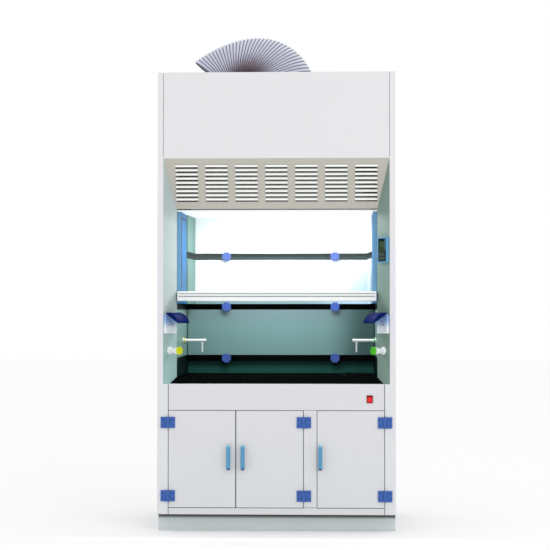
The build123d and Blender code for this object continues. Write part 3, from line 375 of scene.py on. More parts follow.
# Painted light and shade: pale crests over darker hollows between the pleats, mauve shade along the inner
# bend, and white highlights on the crests of the outer side.
DUCT_FOIL = Finish(
    "duct_foil", (146, 145, 160),
    (
        Layer((204, 207, 224), 0.1, 0.75, attribute="fold"),
        Layer((134, 112, 120), 0.35, 0.95, attribute="inner_bend_shade"),
        Layer((244, 247, 252), 0.6, 1.0, attribute="crest_light"),
    ),
    specular=0.2, rough=(0.3, 0.5), grain=Grain.BRUSHED, grain_scale=200.0, mottle=0.12, mottle_scale=14.0,
)
SAFETY_GLASS = Finish(
    "safety_glass", (226, 244, 244), rough=(0.02, 0.04), alpha=0.05, grain=Grain.POLISHED, specular=0.5
)
LAMP_PANE = Finish(
    "lamp_pane", (245, 248, 250), rough=(0.3, 0.4), alpha=0.6, glow=(1.0, 1.0, 1.0), glow_strength=2.0
)
LAMP_PHOSPHOR = Finish(
    "lamp_phosphor", (250, 250, 255), rough=(0.4, 0.5), glow=(0.95, 0.98, 1.0), glow_strength=12.0
)
GALVANISED = Finish(
    "galvanised", (176, 178, 180), metallic=0.9, rough=(0.3, 0.5), grain=Grain.BRUSHED, mottle=0.25,
    mottle_scale=40.0,
)
RAIL_WHITE = Finish("rail_white", (240, 243, 243), rough=(0.2, 0.3), mottle=0.02)
CAST_IRON = Finish(
    "cast_iron", (52, 52, 54), metallic=0.6, rough=(0.5, 0.7), grain=Grain.CAST, grain_scale=260.0,
    grain_depth=0.0003, mottle=0.3, mottle_scale=20.0,
)
SHEAVE_NYLON = Finish("sheave_nylon", (226, 224, 212), rough=(0.35, 0.5), mottle=0.1, mottle_scale=60.0)
STEEL = Finish(
    "steel", (170, 172, 174), metallic=1.0, rough=(0.25, 0.42), grain=Grain.BRUSHED, grain_scale=700.0,
    mottle=0.15, mottle_scale=80.0,
)
SINK_BLACK = Finish(
    "sink_black", (20, 24, 24), rough=(0.4, 0.5), mottle=0.2, mottle_scale=25.0, specular=0.05
)
# Painted shade: the rocker turns darker red towards the top.
ROCKER_RED = Finish(
    "rocker_red", (228, 26, 26), (Layer((176, 12, 18), 0.667, 0.677),), rough=(0.2, 0.3), mottle=0.05,
    glow=(0.8, 0.02, 0.02), glow_strength=0.12,
)
BEZEL_RED = Finish("bezel_red", (120, 26, 28), rough=(0.3, 0.4), mottle=0.2, mottle_scale=60.0)
SERVICE_WHITE = Finish("service_white", (236, 241, 242), rough=(0.2, 0.3), mottle=0.03)
# Painted shade: the socket faces turn blue towards the top, under the navy lid.
SOCKET_WHITE = Finish(
    "socket_white", (232, 238, 244), (Layer((140, 174, 226), 1.015, 1.065),), rough=(0.2, 0.3), mottle=0.04,
    mottle_scale=20.0,
)
LID_NAVY = Finish("lid_navy", (6, 26, 92), rough=(0.4, 0.5), mottle=0.2, mottle_scale=40.0, specular=0.03)
KNOB_YELLOW = Finish(
    "knob_yellow", (236, 240, 240), (Layer((206, 214, 30), -0.1421, -0.1412, WALL_OUT_LEFT),),
    rough=(0.2, 0.3), mottle=0.05, mottle_scale=50.0,
)
KNOB_GREEN = Finish(
    "knob_green", (236, 240, 240), (Layer((80, 186, 40), -0.1421, -0.1412, WALL_OUT_RIGHT),),
    rough=(0.2, 0.3), mottle=0.05, mottle_scale=50.0,
)
CODE_YELLOW = Finish("code_yellow", (190, 206, 30), rough=(0.2, 0.3), mottle=0.1, mottle_scale=50.0)
CODE_GREEN = Finish("code_green", (64, 170, 40), rough=(0.2, 0.3), mottle=0.1, mottle_scale=50.0)
PANEL_BLUE = Finish("panel_blue", (96, 162, 206), rough=(0.25, 0.35), mottle=0.06, mottle_scale=30.0)
DISPLAY_GREEN = Finish(
    "display_green", (44, 64, 26), (Layer((10, 18, 12), 1.45, 1.47),), rough=(0.1, 0.16), specular=0.2,
    mottle=0.2, mottle_scale=60.0,
)
KEYPAD_DARK = Finish(
    "keypad_dark", (12, 26, 18), rough=(0.4, 0.5), mottle=0.2, mottle_scale=50.0, specular=0.1
)
KEY_GREEN = Finish("key_green", (28, 56, 36), rough=(0.35, 0.45), mottle=0.15, mottle_scale=60.0)
DIGIT_GREEN = Finish(
    "digit_green", (64, 92, 40), rough=(0.3, 0.4), glow=(0.35, 0.6, 0.2), glow_strength=0.06
)
# Painted shade: dark discs that stand for the darkness inside the sockets' pin holes.
PIN_HOLE_SHADE = Finish(
    "pin_hole_shade", (2, 5, 24), rough=(0.4, 0.5), mottle=0.2, mottle_scale=80.0, specular=0.02
)
# Painted shade: grey lines that darken the grooves of the sash grip.
GRIP_SHADE = Finish("grip_shade", (146, 154, 156), rough=(0.4, 0.5), mottle=0.1, mottle_scale=20.0)
# Painted shade in the door gaps, and the colour of the dark joint beads.
SEAM_SHADE_AND_BEAD = Finish(
    "seal_grey", (92, 104, 104), rough=(0.5, 0.65), mottle=0.2, mottle_scale=40.0, specular=0.1
)
BAND_STEEL = Finish(
    "band_steel", (176, 178, 182), metallic=0.9, rough=(0.25, 0.35), grain=Grain.BRUSHED, mottle=0.15,
    mottle_scale=30.0,
)
CABLE_STEEL = Finish(
    "cable_steel", (140, 142, 146), metallic=1.0, rough=(0.3, 0.45), grain=Grain.CAST, grain_scale=1500.0,
    grain_depth=0.0002,
)
PALE_FLOOR = Finish("pale_floor", (252, 252, 252), rough=(0.7, 0.8), mottle=0.01, specular=0.0)

NODES: dict[Finish, tuple[str, ...]] = {
    PLINTH_SHEET: ("plinth",),
    DOOR_SHEET: (
        "cabinet_floor", "cabinet_partition", "apron_panel", "door_left", "door_middle", "door_right",
    ),
    WHITE_SHEET: ("side_panels", "roof_panel", "header_panel", "duct_collar"),
    BACK_SHEET: ("back_panel",),
    POST_SHEET: ("front_posts",),
    LOUVRE_SHEET: ("louvre_panel",),
    SPLAY_SHEET: ("splay_panels", "sash_guides"),
    LINER_GREY: ("chamber_liners",),
    UPPER_INTERIOR: ("ceiling_panel",),
    TOP_BAFFLE: ("baffle_top",),
    UPPER_BAFFLE: ("baffle_upper",),
    LOWER_INTERIOR: ("baffle_lower",),
    BOTTOM_INTERIOR: ("baffle_bottom",),
    RAIL_SHADE: ("baffle_rails",),
    PLENUM_GREY: ("exhaust_plenum",),
    WORKTOP_BLACK: ("worktop",),
    SINK_BLACK: ("cup_sink",),
    CHASE_BLUE: ("side_chases",),
    HINGE_BLUE: ("hinge_leaves_fixed", "hinge_leaves_left", "hinge_leaves_middle", "hinge_leaves_right"),
    KNOB_BLUE: ("baffle_knobs",),
    SAFETY_GLASS: ("sash_glass",),
    RAIL_WHITE: ("sash_handle", "sash_top_rail"),
    CAST_IRON: ("counterweight_left", "counterweight_right"),
    SHEAVE_NYLON: ("pulley_left", "pulley_right"),
    STEEL: ("pulley_brackets",),
    GALVANISED: ("lamp_housing",),
    LAMP_PHOSPHOR: ("lamp_tube",),
    LAMP_PANE: ("lamp_glass",),
    ROCKER_RED: ("rocker_switch",),
    BEZEL_RED: ("rocker_frame",),
    SOCKET_WHITE: ("socket_boxes",),
    LID_NAVY: ("socket_lid_left", "socket_lid_right"),
    SERVICE_WHITE: ("valve_bodies", "outlet_arms"),
    KNOB_YELLOW: ("valve_knob_left",),
    KNOB_GREEN: ("valve_knob_right",),
    PANEL_BLUE: ("control_panel",),
    DISPLAY_GREEN: ("control_display",),
    KEYPAD_DARK: ("control_keypad",),
}


class Workshop:
    """Makes meshes and remembers the materials already built."""

    def __init__(self) -> None:
        """Starts with no materials."""
        self._materials: dict[str, bpy.types.Material] = {}

    def material(self, finish: Finish) -> bpy.types.Material:
        """Returns the finish's material, building it once.

        Args:
            finish: The finish wanted.

        Returns:
            Its material.
        """
        if finish.name not in self._materials:
            self._materials[finish.name] = finish.make()
        return self._materials[finish.name]

    def dress(self, obj: bpy.types.Object, finish: Finish) -> None:
        """Gives an object one finish in place of what it had.

        Args:
            obj: The object.
            finish: Its new finish.
        """
        obj.data.materials.clear()
        obj.data.materials.append(self.material(finish))

    def surface(
        self, name: str, points: np.ndarray, finish: Finish, loop_u: bool = False, loop_v: bool = False,
        fields: dict[str, np.ndarray] | None = None,
    ) -> bpy.types.Object:
        """Makes a smooth piece from one grid of points.

        Args:
            name: The piece's name.
            points: Grid of shape (rows, columns, 3), in metres.
            finish: The piece's finish.
            loop_u: Whether the last row joins the first.
            loop_v: Whether the last column joins the first.
            fields: Numbers per point that the finish reads, by attribute name.

        Returns:
            The new object, at the origin.
        """
        return self.join(name, [(points, loop_u, loop_v)], finish, fields)

    def join(
        self, name: str, grids: list[Grid], finish: Finish, fields: dict[str, np.ndarray] | None = None
    ) -> bpy.types.Object:
        """Makes one smooth piece from several grids of points.

        Each cell of a grid becomes a quad whose corners are worked out as whole index arrays; a
        looped direction joins its last row to its first. Doubles are merged, so poles close.

        Args:
            name: The piece's name.
            grids: For each grid its points, and whether its rows and its columns loop.
            finish: The piece's finish.
            fields: Numbers per point that the finish reads, by attribute name.

        Returns:
            The new object, at the origin.
        """
        vertices: list[np.ndarray] = []
        quads: list[np.ndarray] = []
        base = 0
        for points, loop_u, loop_v in grids:
            rows, columns = points.shape[:2]
            index = np.arange(rows * columns).reshape(rows, columns) + base
            if loop_u:
                index = np.vstack([index, index[:1]])
            if loop_v:
                index = np.hstack([index, index[:, :1]])
            cell = [index[:-1, :-1], index[1:, :-1], index[1:, 1:], index[:-1, 1:]]
            quads.append(np.stack(cell, axis=-1).reshape(-1, 4))
            vertices.append(points.reshape(-1, 3))
            base += rows * columns
        mesh = bpy.data.meshes.new(name)
        mesh.from_pydata(np.vstack(vertices).tolist(), [], np.vstack(quads).tolist())
        for field_name, values in (fields or {}).items():
            attribute = mesh.attributes.new(field_name, "FLOAT", "POINT")
            attribute.data.foreach_set("value", values.reshape(-1).astype(np.float32))
        shell = bmesh.new()
        shell.from_mesh(mesh)
        bmesh.ops.remove_doubles(shell, verts=shell.verts, dist=1e-6)
        bmesh.ops.recalc_face_normals(shell, faces=shell.faces)
        shell.to_mesh(mesh)
        shell.free()
        mesh.shade_smooth()
        mesh.set_sharp_from_angle(angle=math.radians(35.0))
        obj = bpy.data.objects.new(name, mesh)
        bpy.context.scene.collection.objects.link(obj)
        self.dress(obj, finish)
        return obj


def frame_on(normal: np.ndarray) -> tuple[np.ndarray, np.ndarray, np.ndarray]:
    """Right-handed axes whose third is a normal and whose second is as upright as it can be.

    Args:
        normal: The third axis, any length.

    Returns:
        Across, up and normal, each of length one.
    """
    third = normal / np.linalg.norm(normal)
    upright = np.array([0.0, 0.0, 1.0]) if abs(third[2]) < 0.9 else np.array([0.0, 1.0, 0.0])
    first = np.cross(upright, third)
    first /= np.linalg.norm(first)
    return first, np.cross(third, first), third


def lathe(profile: np.ndarray, centre: np.ndarray, normal: np.ndarray, sides: int = 32) -> np.ndarray:
    """Turned shape: each profile point (radius, height) sweeps a circle about the normal.

    Args:
        profile: Points of shape (n, 2), radius and height along the normal.
        centre: Where height zero lies.
        normal: The turning axis.
        sides: Number of steps round.

    Returns:
        Grid of shape (n, sides, 3), to be looped in its columns.
    """
    across, up, out = frame_on(normal)
    angle = np.linspace(0.0, 2.0 * np.pi, sides, endpoint=False)
    ring = np.cos(angle)[:, None] * across + np.sin(angle)[:, None] * up
    return centre + profile[:, 0, None, None] * ring + profile[:, 1, None, None] * out


def bent(value: np.ndarray, power: float) -> np.ndarray:
    """Signed power of each number, which squares off a circle's sine and cosine."""
    return np.sign(value) * np.abs(value) ** power


def pillow(centre: np.ndarray, half: Point, normal: np.ndarray, power: float, steps: int) -> Grid:
    """Rounded block: a superellipsoid, its sines and cosines raised to a small power.

    Args:
        centre: Middle of the block.
        half: Half sizes across, up and along the normal.
        normal: Outward direction.
        power: 1 gives an ellipsoid, near 0 a sharp block.
        steps: Number of steps round.

    Returns:
        The block, ready to join.
    """
    across, up, out = frame_on(normal)
    lat = np.linspace(-np.pi / 2, np.pi / 2, steps // 2 + 1)[:, None]
    lon = np.linspace(0.0, 2.0 * np.pi, steps, endpoint=False)[None, :]
    x = half[0] * bent(np.cos(lat), power) * bent(np.cos(lon), power)
    y = half[1] * bent(np.cos(lat), power) * bent(np.sin(lon), power)
    z = half[2] * bent(np.sin(lat), power) * np.ones_like(lon)
    return centre + x[..., None] * across + y[..., None] * up + z[..., None] * out, False, True


def tube(
    path: np.ndarray, side: np.ndarray, radius: np.ndarray, half_width: np.ndarray | None = None,
    power: float = 1.0, sides: int = 24,
) -> np.ndarray:
    """Bar along a flat path: rings set square to it, each a circle or a squared-off ellipse.

    Args:
        path: Centre line of shape (n, 3), all in one plane.
        side: Normal of the path's plane.
        radius: Half size in the path's plane at each path point.
        half_width: Half size along side at each path point; the radius if left out.
        power: 1 for ellipses, less for squarer rings.
        sides: Number of steps round.

    Returns:
        Grid of shape (n, sides, 3), to be looped in its columns.
    """
    tangent = np.gradient(path, axis=0)
    tangent /= np.linalg.norm(tangent, axis=1)[:, None]
    out = np.cross(tangent, side)
    angle = np.linspace(0.0, 2.0 * np.pi, sides, endpoint=False)
    width = radius if half_width is None else half_width
    in_plane = (radius[:, None] * bent(np.cos(angle), power)[None, :])[..., None] * out[:, None, :]
    sideways = (width[:, None] * bent(np.sin(angle), power)[None, :])[..., None] * side
    return path[:, None, :] + in_plane + sideways


def even_points(line: np.ndarray, count: int) -> np.ndarray:
    """Points at even spacing along a line.

    Args:
        line: The line's points, of shape (n, dimensions).
        count: Number of points wanted.

    Returns:
        Points of shape (count, dimensions).
    """
    steps = np.r_[0.0, np.cumsum(np.linalg.norm(np.diff(line, axis=0), axis=1))]
    even = np.linspace(0.0, steps[-1], count)
    return np.stack([np.interp(even, steps, column) for column in line.T], axis=1)


def bezier(ends: np.ndarray, count: int = 200) -> np.ndarray:
    """Cubic curve through the first and last of four points, pulled towards the other two.

    Args:
        ends: The four points, of shape (4, dimensions).
        count: Number of points wanted.

    Returns:
        Points of shape (count, dimensions).
    """
    t = np.linspace(0.0, 1.0, count)[:, None]
    weights = np.hstack([(1 - t) ** 3, 3 * t * (1 - t) ** 2, 3 * t**2 * (1 - t), t**3])
    return weights @ ends


@dataclass
class Duct:
    """Pleated flexible duct that leans over to the left from the roof collar, and its clamp band.

    The pleats fan out: each ring is an ellipse between a point of the long outer curve and one of
    the short inner curve. Both curves are given as X and Z away from the foot's centre.
    """

    workshop: Workshop
    pleats: int = 37
    pleat_depth: float = 0.008
    wall: float = 0.0012
    rings_per_pleat: int = 10
    sides: int = 64
    foot_gap: float = 0.0005
    band_rise: float = 0.003
    band_height: float = 0.012
    band_depth: float = 0.0022
    band_edge: float = 0.001
    band_clearance: float = 0.0002
    outer_curve: tuple[tuple[float, float], ...] = (
        (0.1200, 0.0655), (-0.0137, 0.3287), (-0.3073, 0.2711), (-0.5080, 0.1206),
    )
    inner_curve: tuple[tuple[float, float], ...] = (
        (-0.1200, 0.0030), (-0.1480, 0.0450), (-0.2530, 0.0550), (-0.3580, 0.0045),
    )

    def build(self) -> None:
        """Builds the duct with its inner wall, and the clamp band at its foot."""
        low, high = corners("flexible_duct")
        radius = (high[1] - low[1]) / 2.0
        foot = np.array([high[0] - radius, low[2]])
        lead = np.array([[radius, 0.0], [radius, 0.5 * self.outer_curve[0][1]]])
        count = self.pleats * self.rings_per_pleat + 1
        outer_line = foot + even_points(np.vstack([lead, bezier(np.array(self.outer_curve))]), count)
        inner_foot = np.array([[-radius, 0.0]])
        inner_line = foot + even_points(np.vstack([inner_foot, bezier(np.array(self.inner_curve))]), count)
        phase = np.linspace(0.0, self.pleats, count)
        fold = np.abs(np.sin(np.pi * phase)) ** 0.8
        middle_y = (low[1] + high[1]) / 2.0
        inset = self.pleat_depth * (1.0 - fold)
        skin = self._rings(outer_line, inner_line, middle_y, radius, inset)
        lining = self._rings(outer_line, inner_line, middle_y, radius, inset + self.wall)
        shell = np.vstack([skin, lining[::-1]])
        shell[..., 2] = np.maximum(shell[..., 2], low[2] + self.foot_gap)
        angle = np.linspace(0.0, 2.0 * np.pi, self.sides, endpoint=False)
        inward = (1.0 - np.cos(angle)) / 2.0
        # Fields for painted shade along the inner bend and painted highlights on the outer crests.
        bend = np.sin(np.pi * np.linspace(0.0, 1.0, count)) ** 0.7
        inner_bend_shade = bend[:, None] * inward[None, :]
        crest_light = (fold**3)[:, None] * (np.clip(np.cos(angle), 0.0, 1.0) ** 0.5)[None, :]
        fold_field = np.repeat(fold[:, None], self.sides, axis=1)
        fields = {
            "fold": np.vstack([fold_field, fold_field[::-1]]),
            "inner_bend_shade": np.vstack([inner_bend_shade, inner_bend_shade[::-1]]),
            "crest_light": np.vstack([crest_light, 0.0 * crest_light]),
        }
        duct = self.workshop.surface("pleated_duct", shell, DUCT_FOIL, True, True, fields)
        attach(duct, "root")
        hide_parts("flexible_duct")
        log.info("pleated_duct: %d pleats", self.pleats)
        self._band(np.array([foot[0], middle_y, low[2] + self.band_rise]), radius)

    def _rings(
        self,
        outer_line: np.ndarray,
        inner_line: np.ndarray,
        middle_y: float,
        radius: float,
        inset: np.ndarray,
    ) -> np.ndarray:
        """Ellipses spanned by the outer and inner points and the duct's full depth in Y.

        Args:
            outer_line: Outer points, X and Z.
            inner_line: Inner points, X and Z.
            middle_y: Depth of the duct's middle.
            radius: Half of its size in Y.
            inset: How far each ring stands in from the crests.

        Returns:
            Grid of shape (rings, sides, 3).
        """
        middle = (outer_line + inner_line) / 2.0
        reach = (outer_line - inner_line) / 2.0
        length = np.linalg.norm(reach, axis=1)
        reach = reach * (1.0 - inset / length)[:, None]
        angle = np.linspace(0.0, 2.0 * np.pi, self.sides, endpoint=False)
        x = middle[:, :1] + reach[:, :1] * np.cos(angle)
        z = middle[:, 1:] + reach[:, 1:] * np.cos(angle)
        y = middle_y + (radius - inset)[:, None] * np.sin(angle)
        return np.stack([x, y, z], axis=-1)

    def _band(self, foot: np.ndarray, radius: float) -> None:
        """A steel clamp band, lying in the first pleat.

        Args:
            foot: Middle of the band's lower edge.
            radius: The duct's full radius, which the band stays inside.
        """
        outer = radius - self.band_clearance
        inner = outer - self.band_depth
        height = self.band_height
        edge = self.band_edge
        profile = np.array([(inner, 0.0), (outer, edge), (outer, height - edge), (inner, height)])
        band = self.workshop.surface("duct_band", lathe(profile, foot, UP, 96), BAND_STEEL, True, True)
        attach(band, "root")
        log.info("duct_band")


@dataclass
class SashCables:
    """Cables of the counterweight gear, each in two taut runs and a bend over its sheave."""

    workshop: Workshop
    radius: float = 0.0015
    lay_length: float = 0.006
    lay_depth: float = 0.06

    def build(self) -> None:
        """Builds every run, straight between what it joins."""
        low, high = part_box("sash_cables")
        sheave_low, sheave_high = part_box("pulley_right")
        sheave_z = (sheave_low[2] + sheave_high[2]) / 2.0
        middle_y = (low[1] + high[1]) / 2.0
        weight_x = high[0] - self.radius
        pitch = weight_x - (sheave_low[0] + sheave_high[0]) / 2.0
        sash_x = weight_x - 2.0 * pitch
        sash_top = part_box("sash_top_rail")[1][2]
        weight_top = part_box("counterweight_right")[1][2]
        for sign, name in ((-1.0, "left"), (1.0, "right")):
            runs = (
                (f"sash_cable_{name}", "sash", sign * sash_x, sash_top),
                (f"weight_cable_{name}", f"counterweight_{name}", sign * weight_x, weight_top),
            )
            for piece_name, body, x, end_z in runs:
                start = (x, middle_y, end_z)
                end = (x, middle_y, sheave_z)
                piece = self._run(piece_name, start, end)
                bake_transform(piece)
                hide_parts("sash_cables")
            over = self._over(f"sheave_cable_{name}", sign * (sash_x + pitch), middle_y, sheave_z, pitch)
            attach(over, "root")
            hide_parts("sash_cables")
            log.info("cables %s", name)

    def _stranded(self, length: np.ndarray) -> np.ndarray:
        """Radius of a laid cable: it swells and narrows a little along its length.

        Args:
            length: Length along the cable at each ring.

        Returns:
            The radius at each ring.
        """
        wave = np.cos(length * 2.0 * np.pi / self.lay_length)
        return self.radius * (1.0 - self.lay_depth * (1.0 + wave) / 2.0)

    def _run(self, name: str, start: Point, end: Point) -> bpy.types.Object:
        """A straight run, with rings often enough to show its lay.

        Args:
            name: The piece's name.
            start: Its lower end.
            end: Its upper end.

        Returns:
            The run.
        """
        share = np.linspace(0.0, 1.0, 160)[:, None]
        path = np.array(start) * (1.0 - share) + np.array(end) * share
        grid = tube(path, SIDE_Y, self._stranded(path[:, 2]), sides=10)
        return self.workshop.surface(name, grid, CABLE_STEEL, loop_v=True)

    def _over(self, name: str, x: float, y: float, z: float, pitch: float) -> bpy.types.Object:
        """The half turn of cable that lies in the sheave's groove.

        Args:
            name: The piece's name.
            x: Sheave centre, across.
            y: Sheave centre, depth.
            z: Sheave centre, height.
            pitch: Radius of the cable's centre line.

        Returns:
            The half turn.
        """
        turn = np.linspace(0.0, np.pi, 60)
        path = np.stack([x + pitch * np.cos(turn), np.full_like(turn, y), z + pitch * np.sin(turn)], axis=1)
        grid = tube(path, SIDE_Y, self._stranded(turn * pitch), sides=10)
        return self.workshop.surface(name, grid, CABLE_STEEL, loop_v=True)


@dataclass
class HingeScrews:
    """Countersunk screws that hold the hinge leaves, two on each leaf."""

    workshop: Workshop
    head_radius: float = 0.0036
    head_height: float = 0.0008
    recess_radius: float = 0.0016
    rise: float = 0.014
    inset: float = 0.010
    barrel_radius: float = 0.009
    end_rise: float = 0.028
    leaf_thickness: float = 0.005

    def build(self) -> None:
        """Builds one group of screws for each body that carries leaves."""
        groups = (
            ("hinge_leaves_left", "door_left", True),
            ("hinge_leaves_middle", "door_middle", False),
            ("hinge_leaves_right", "door_right", False),
        )
        fixed: list[Grid] = []
        for node, body, reaches_right in groups:
            low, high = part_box(node)
            leaf_x = high[0] - self.inset if reaches_right else low[0] + self.inset
            barrel_x = low[0] + self.barrel_radius if reaches_right else high[0] - self.barrel_radius
            heights = (low[2] + self.end_rise, high[2] - self.end_rise)
            front_y = high[1] - self.leaf_thickness
            levels = [z + dz for z in heights for dz in (-self.rise, self.rise)]
            piece = self.workshop.join(
                f"screws_{body}", [self._screw(leaf_x, front_y, z) for z in levels], HINGE_DARK
            )
            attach(piece, body)
            log.info("screws_%s: %d", body, len(levels))
            fixed += [self._screw(2.0 * barrel_x - leaf_x, front_y, z) for z in levels]
        piece = self.workshop.join("screws_fixed_leaves", fixed, HINGE_DARK)
        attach(piece, "root")
        log.info("screws_fixed_leaves: %d", len(fixed))

    def _screw(self, x: float, y: float, z: float) -> Grid:
        """A low domed head with a round drive recess, turned from one profile.

        Args:
            x: The screw's place across.
            y: Depth of the leaf's face.
            z: The screw's height.

        Returns:
            The head, ready to join.
        """
        head = self.head_radius
        top = self.head_height
        profile = np.array(
            [
                (0.0, 0.2 * top),
                (self.recess_radius, 0.2 * top),
                (self.recess_radius, top),
                (0.7 * head, 0.9 * top),
                (0.95 * head, 0.5 * top),
                (head, 0.0),
                (0.0, 0.0),
            ]
        )
        return lathe(profile, np.array([x, y, z]), FRONT, 20), False, True


@dataclass
class PullHandles:
    """Bow handles of the doors: a flat rounded bar that bends back into the door at each end."""

    workshop: Workshop
    thickness: float = 0.012
    bend_radius: float = 0.013
    foot_half_width: float = 0.0072
    margin: float = 0.0004
    squareness: float = 0.65

    def build(self) -> None:
        """Builds the three handles in place of the CAD ones."""
        for name in ("left", "middle", "right"):
            node = f"door_handle_{name}"
            low, high = corners(node)
            handle = self.workshop.surface(f"bow_{node}", self._bow(low, high), HANDLE_BLUE, loop_v=True)
            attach(handle, f"door_{name}")
            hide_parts(node)
            log.info("bow_%s", node)

    def _bow(self, low: np.ndarray, high: np.ndarray) -> np.ndarray:
        """Bar swept out from the door, along and back, wider along its grip than at its feet.

        Args:
            low: Low corner of the space it fills.
            high: High corner of that space.

        Returns:
            Grid of points, to be looped in its columns.
        """
        half_t = self.thickness / 2.0
        bend = self.bend_radius
        out_y = low[1] + half_t + self.margin
        top_z = high[2] - half_t - self.margin
        foot_z = low[2] + half_t + self.margin
        turn = np.linspace(0.0, np.pi / 2.0, 12)
        upper = np.stack([out_y + bend * (1.0 - np.sin(turn)), top_z - bend * (1.0 - np.cos(turn))], axis=1)
        lower = np.stack([out_y + bend * (1.0 - np.cos(turn)), foot_z + bend * (1.0 - np.sin(turn))], axis=1)
        line = np.vstack([[[high[1], top_z]], upper, lower, [[high[1], foot_z]]])
        line = even_points(line, 90)
        path = np.stack([np.full(len(line), (low[0] + high[0]) / 2.0), line[:, 0], line[:, 1]], axis=1)
        full = (high[0] - low[0]) / 2.0 - self.margin
        from_end = np.minimum(line[:, 1] - foot_z, top_z - line[:, 1])
        share = np.clip(from_end / bend, 0.0, 1.0)
        width = self.foot_half_width + (full - self.foot_half_width) * np.sqrt(1.0 - (1.0 - share) ** 2)
        radius = np.full(len(line), half_t)
        grid = tube(path, np.array(X_AXIS), radius, width, power=self.squareness, sides=36)
        ends = [np.repeat(path[end : end + 1, None, :], grid.shape[1], axis=1) for end in (0, len(path) - 1)]
        return np.vstack([ends[0], grid, ends[1]])


@dataclass
class SeamShadeAndBeads:
    """Grey fills set back in every seam of the cabinet front as painted shade of the gaps, and fine beads in
    the joints above it.
    """

    workshop: Workshop
    post_width: float = 0.054
    side_gap: float = 0.0003
    set_back: float = 0.002
    depth: float = 0.010
    foot_clearance: float = 0.001
    top_clearance: float = 0.002
    bead_width: float = 0.0022
    bead_proud: float = 0.0004
    bead_bed: float = 0.0002
    bead_end: float = 0.001

    def build(self) -> None:
        """Works each seam out from the parts beside it and fills it."""
        left_low, left_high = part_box("door_left")
        middle_low, middle_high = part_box("door_middle")
        right_low, right_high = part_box("door_right")
        wall_low, wall_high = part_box("cabinet_partition")
        apron_low, apron_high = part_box("apron_panel")
        floor_low, floor_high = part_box("cabinet_floor")
        post_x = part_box("front_posts")[1][0] - self.post_width
        front_y = left_low[1]
        upright = (floor_low[2] + self.foot_clearance, apron_high[2] - self.top_clearance)
        door_z = (left_low[2], left_high[2])
        seams = [
            self._block((-post_x, left_low[0]), upright, front_y),
            self._block((right_high[0], post_x), upright, front_y),
            self._block((middle_high[0], wall_low[0]), door_z, front_y),
            self._block((wall_high[0], right_low[0]), door_z, front_y),
        ]
        for x_range in ((left_low[0], middle_high[0]), (right_low[0], right_high[0])):
            seams.append(self._block(x_range, (left_high[2], apron_low[2]), front_y))
            seams.append(self._block(x_range, (floor_high[2], left_low[2]), front_y))
        # Painted shade: grey fills in the door gaps, where there is only shade.
        self._finish("seam_shade_fills", seams)
        self._finish("meeting_gap_shade", [self._block((left_high[0], middle_low[0]), door_z, front_y)])
        self._finish("joint_beads", self._beads() + self._mullion_beads(apron_low[2], door_z[0]))

    def _block(self, x_range: tuple[float, float], z_range: tuple[float, float], front_y: float) -> Grid:
        """A squared-off fill of painted shade in a seam between two faces.

        Args:
            x_range: The seam's sides.
            z_range: Its foot and top.
            front_y: Depth of the faces beside it.

        Returns:
            The bead.
        """
        half = (
            (x_range[1] - x_range[0]) / 2.0 - self.side_gap,
            (z_range[1] - z_range[0]) / 2.0 - self.side_gap,
            self.depth / 2.0,
        )
        centre = np.array(
            [sum(x_range) / 2.0, front_y + self.set_back + self.depth / 2.0, sum(z_range) / 2.0]
        )
        return pillow(centre, half, FRONT, 0.08, 40)

    def _beads(self) -> list[Grid]:
        """Fine beads in the joints between the header and the posts.

        Returns:
            The two beads.
        """
        low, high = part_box("header_panel")
        y = low[1] - self.bead_proud / 2.0 + self.bead_bed
        middle_z = (low[2] + high[2]) / 2.0
        half = (self.bead_width / 2.0, (high[2] - low[2]) / 2.0 - self.bead_end, self.bead_proud)
        return [pillow(np.array([x, y, middle_z]), half, FRONT, 0.3, 16) for x in (low[0], high[0])]

    def _mullion_beads(self, top_z: float, foot_z: float) -> list[Grid]:
        """Fine beads across the mullion, in line with the tops and the feet of the doors.

        Args:
            top_z: Height of the joint with the apron.
            foot_z: Height of the joint with the bottom rail.

        Returns:
            The two beads.
        """
        low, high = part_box("cabinet_partition")
        y = low[1] - self.bead_proud / 2.0 + self.bead_bed
        half = ((high[0] - low[0]) / 2.0, self.bead_width / 2.0, self.bead_proud)
        middle_x = (low[0] + high[0]) / 2.0
        return [pillow(np.array([middle_x, y, z]), half, FRONT, 0.3, 16) for z in (top_z, foot_z)]

    def _finish(self, name: str, grids: list[Grid]) -> None:
        """Makes one piece of the beads, which stays with the frame.

        Args:
            name: The piece's name.
            grids: Its beads.
        """
        piece = self.workshop.join(name, grids, SEAM_SHADE_AND_BEAD)
        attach(piece, "root")
        log.info("%s: %d", name, len(grids))


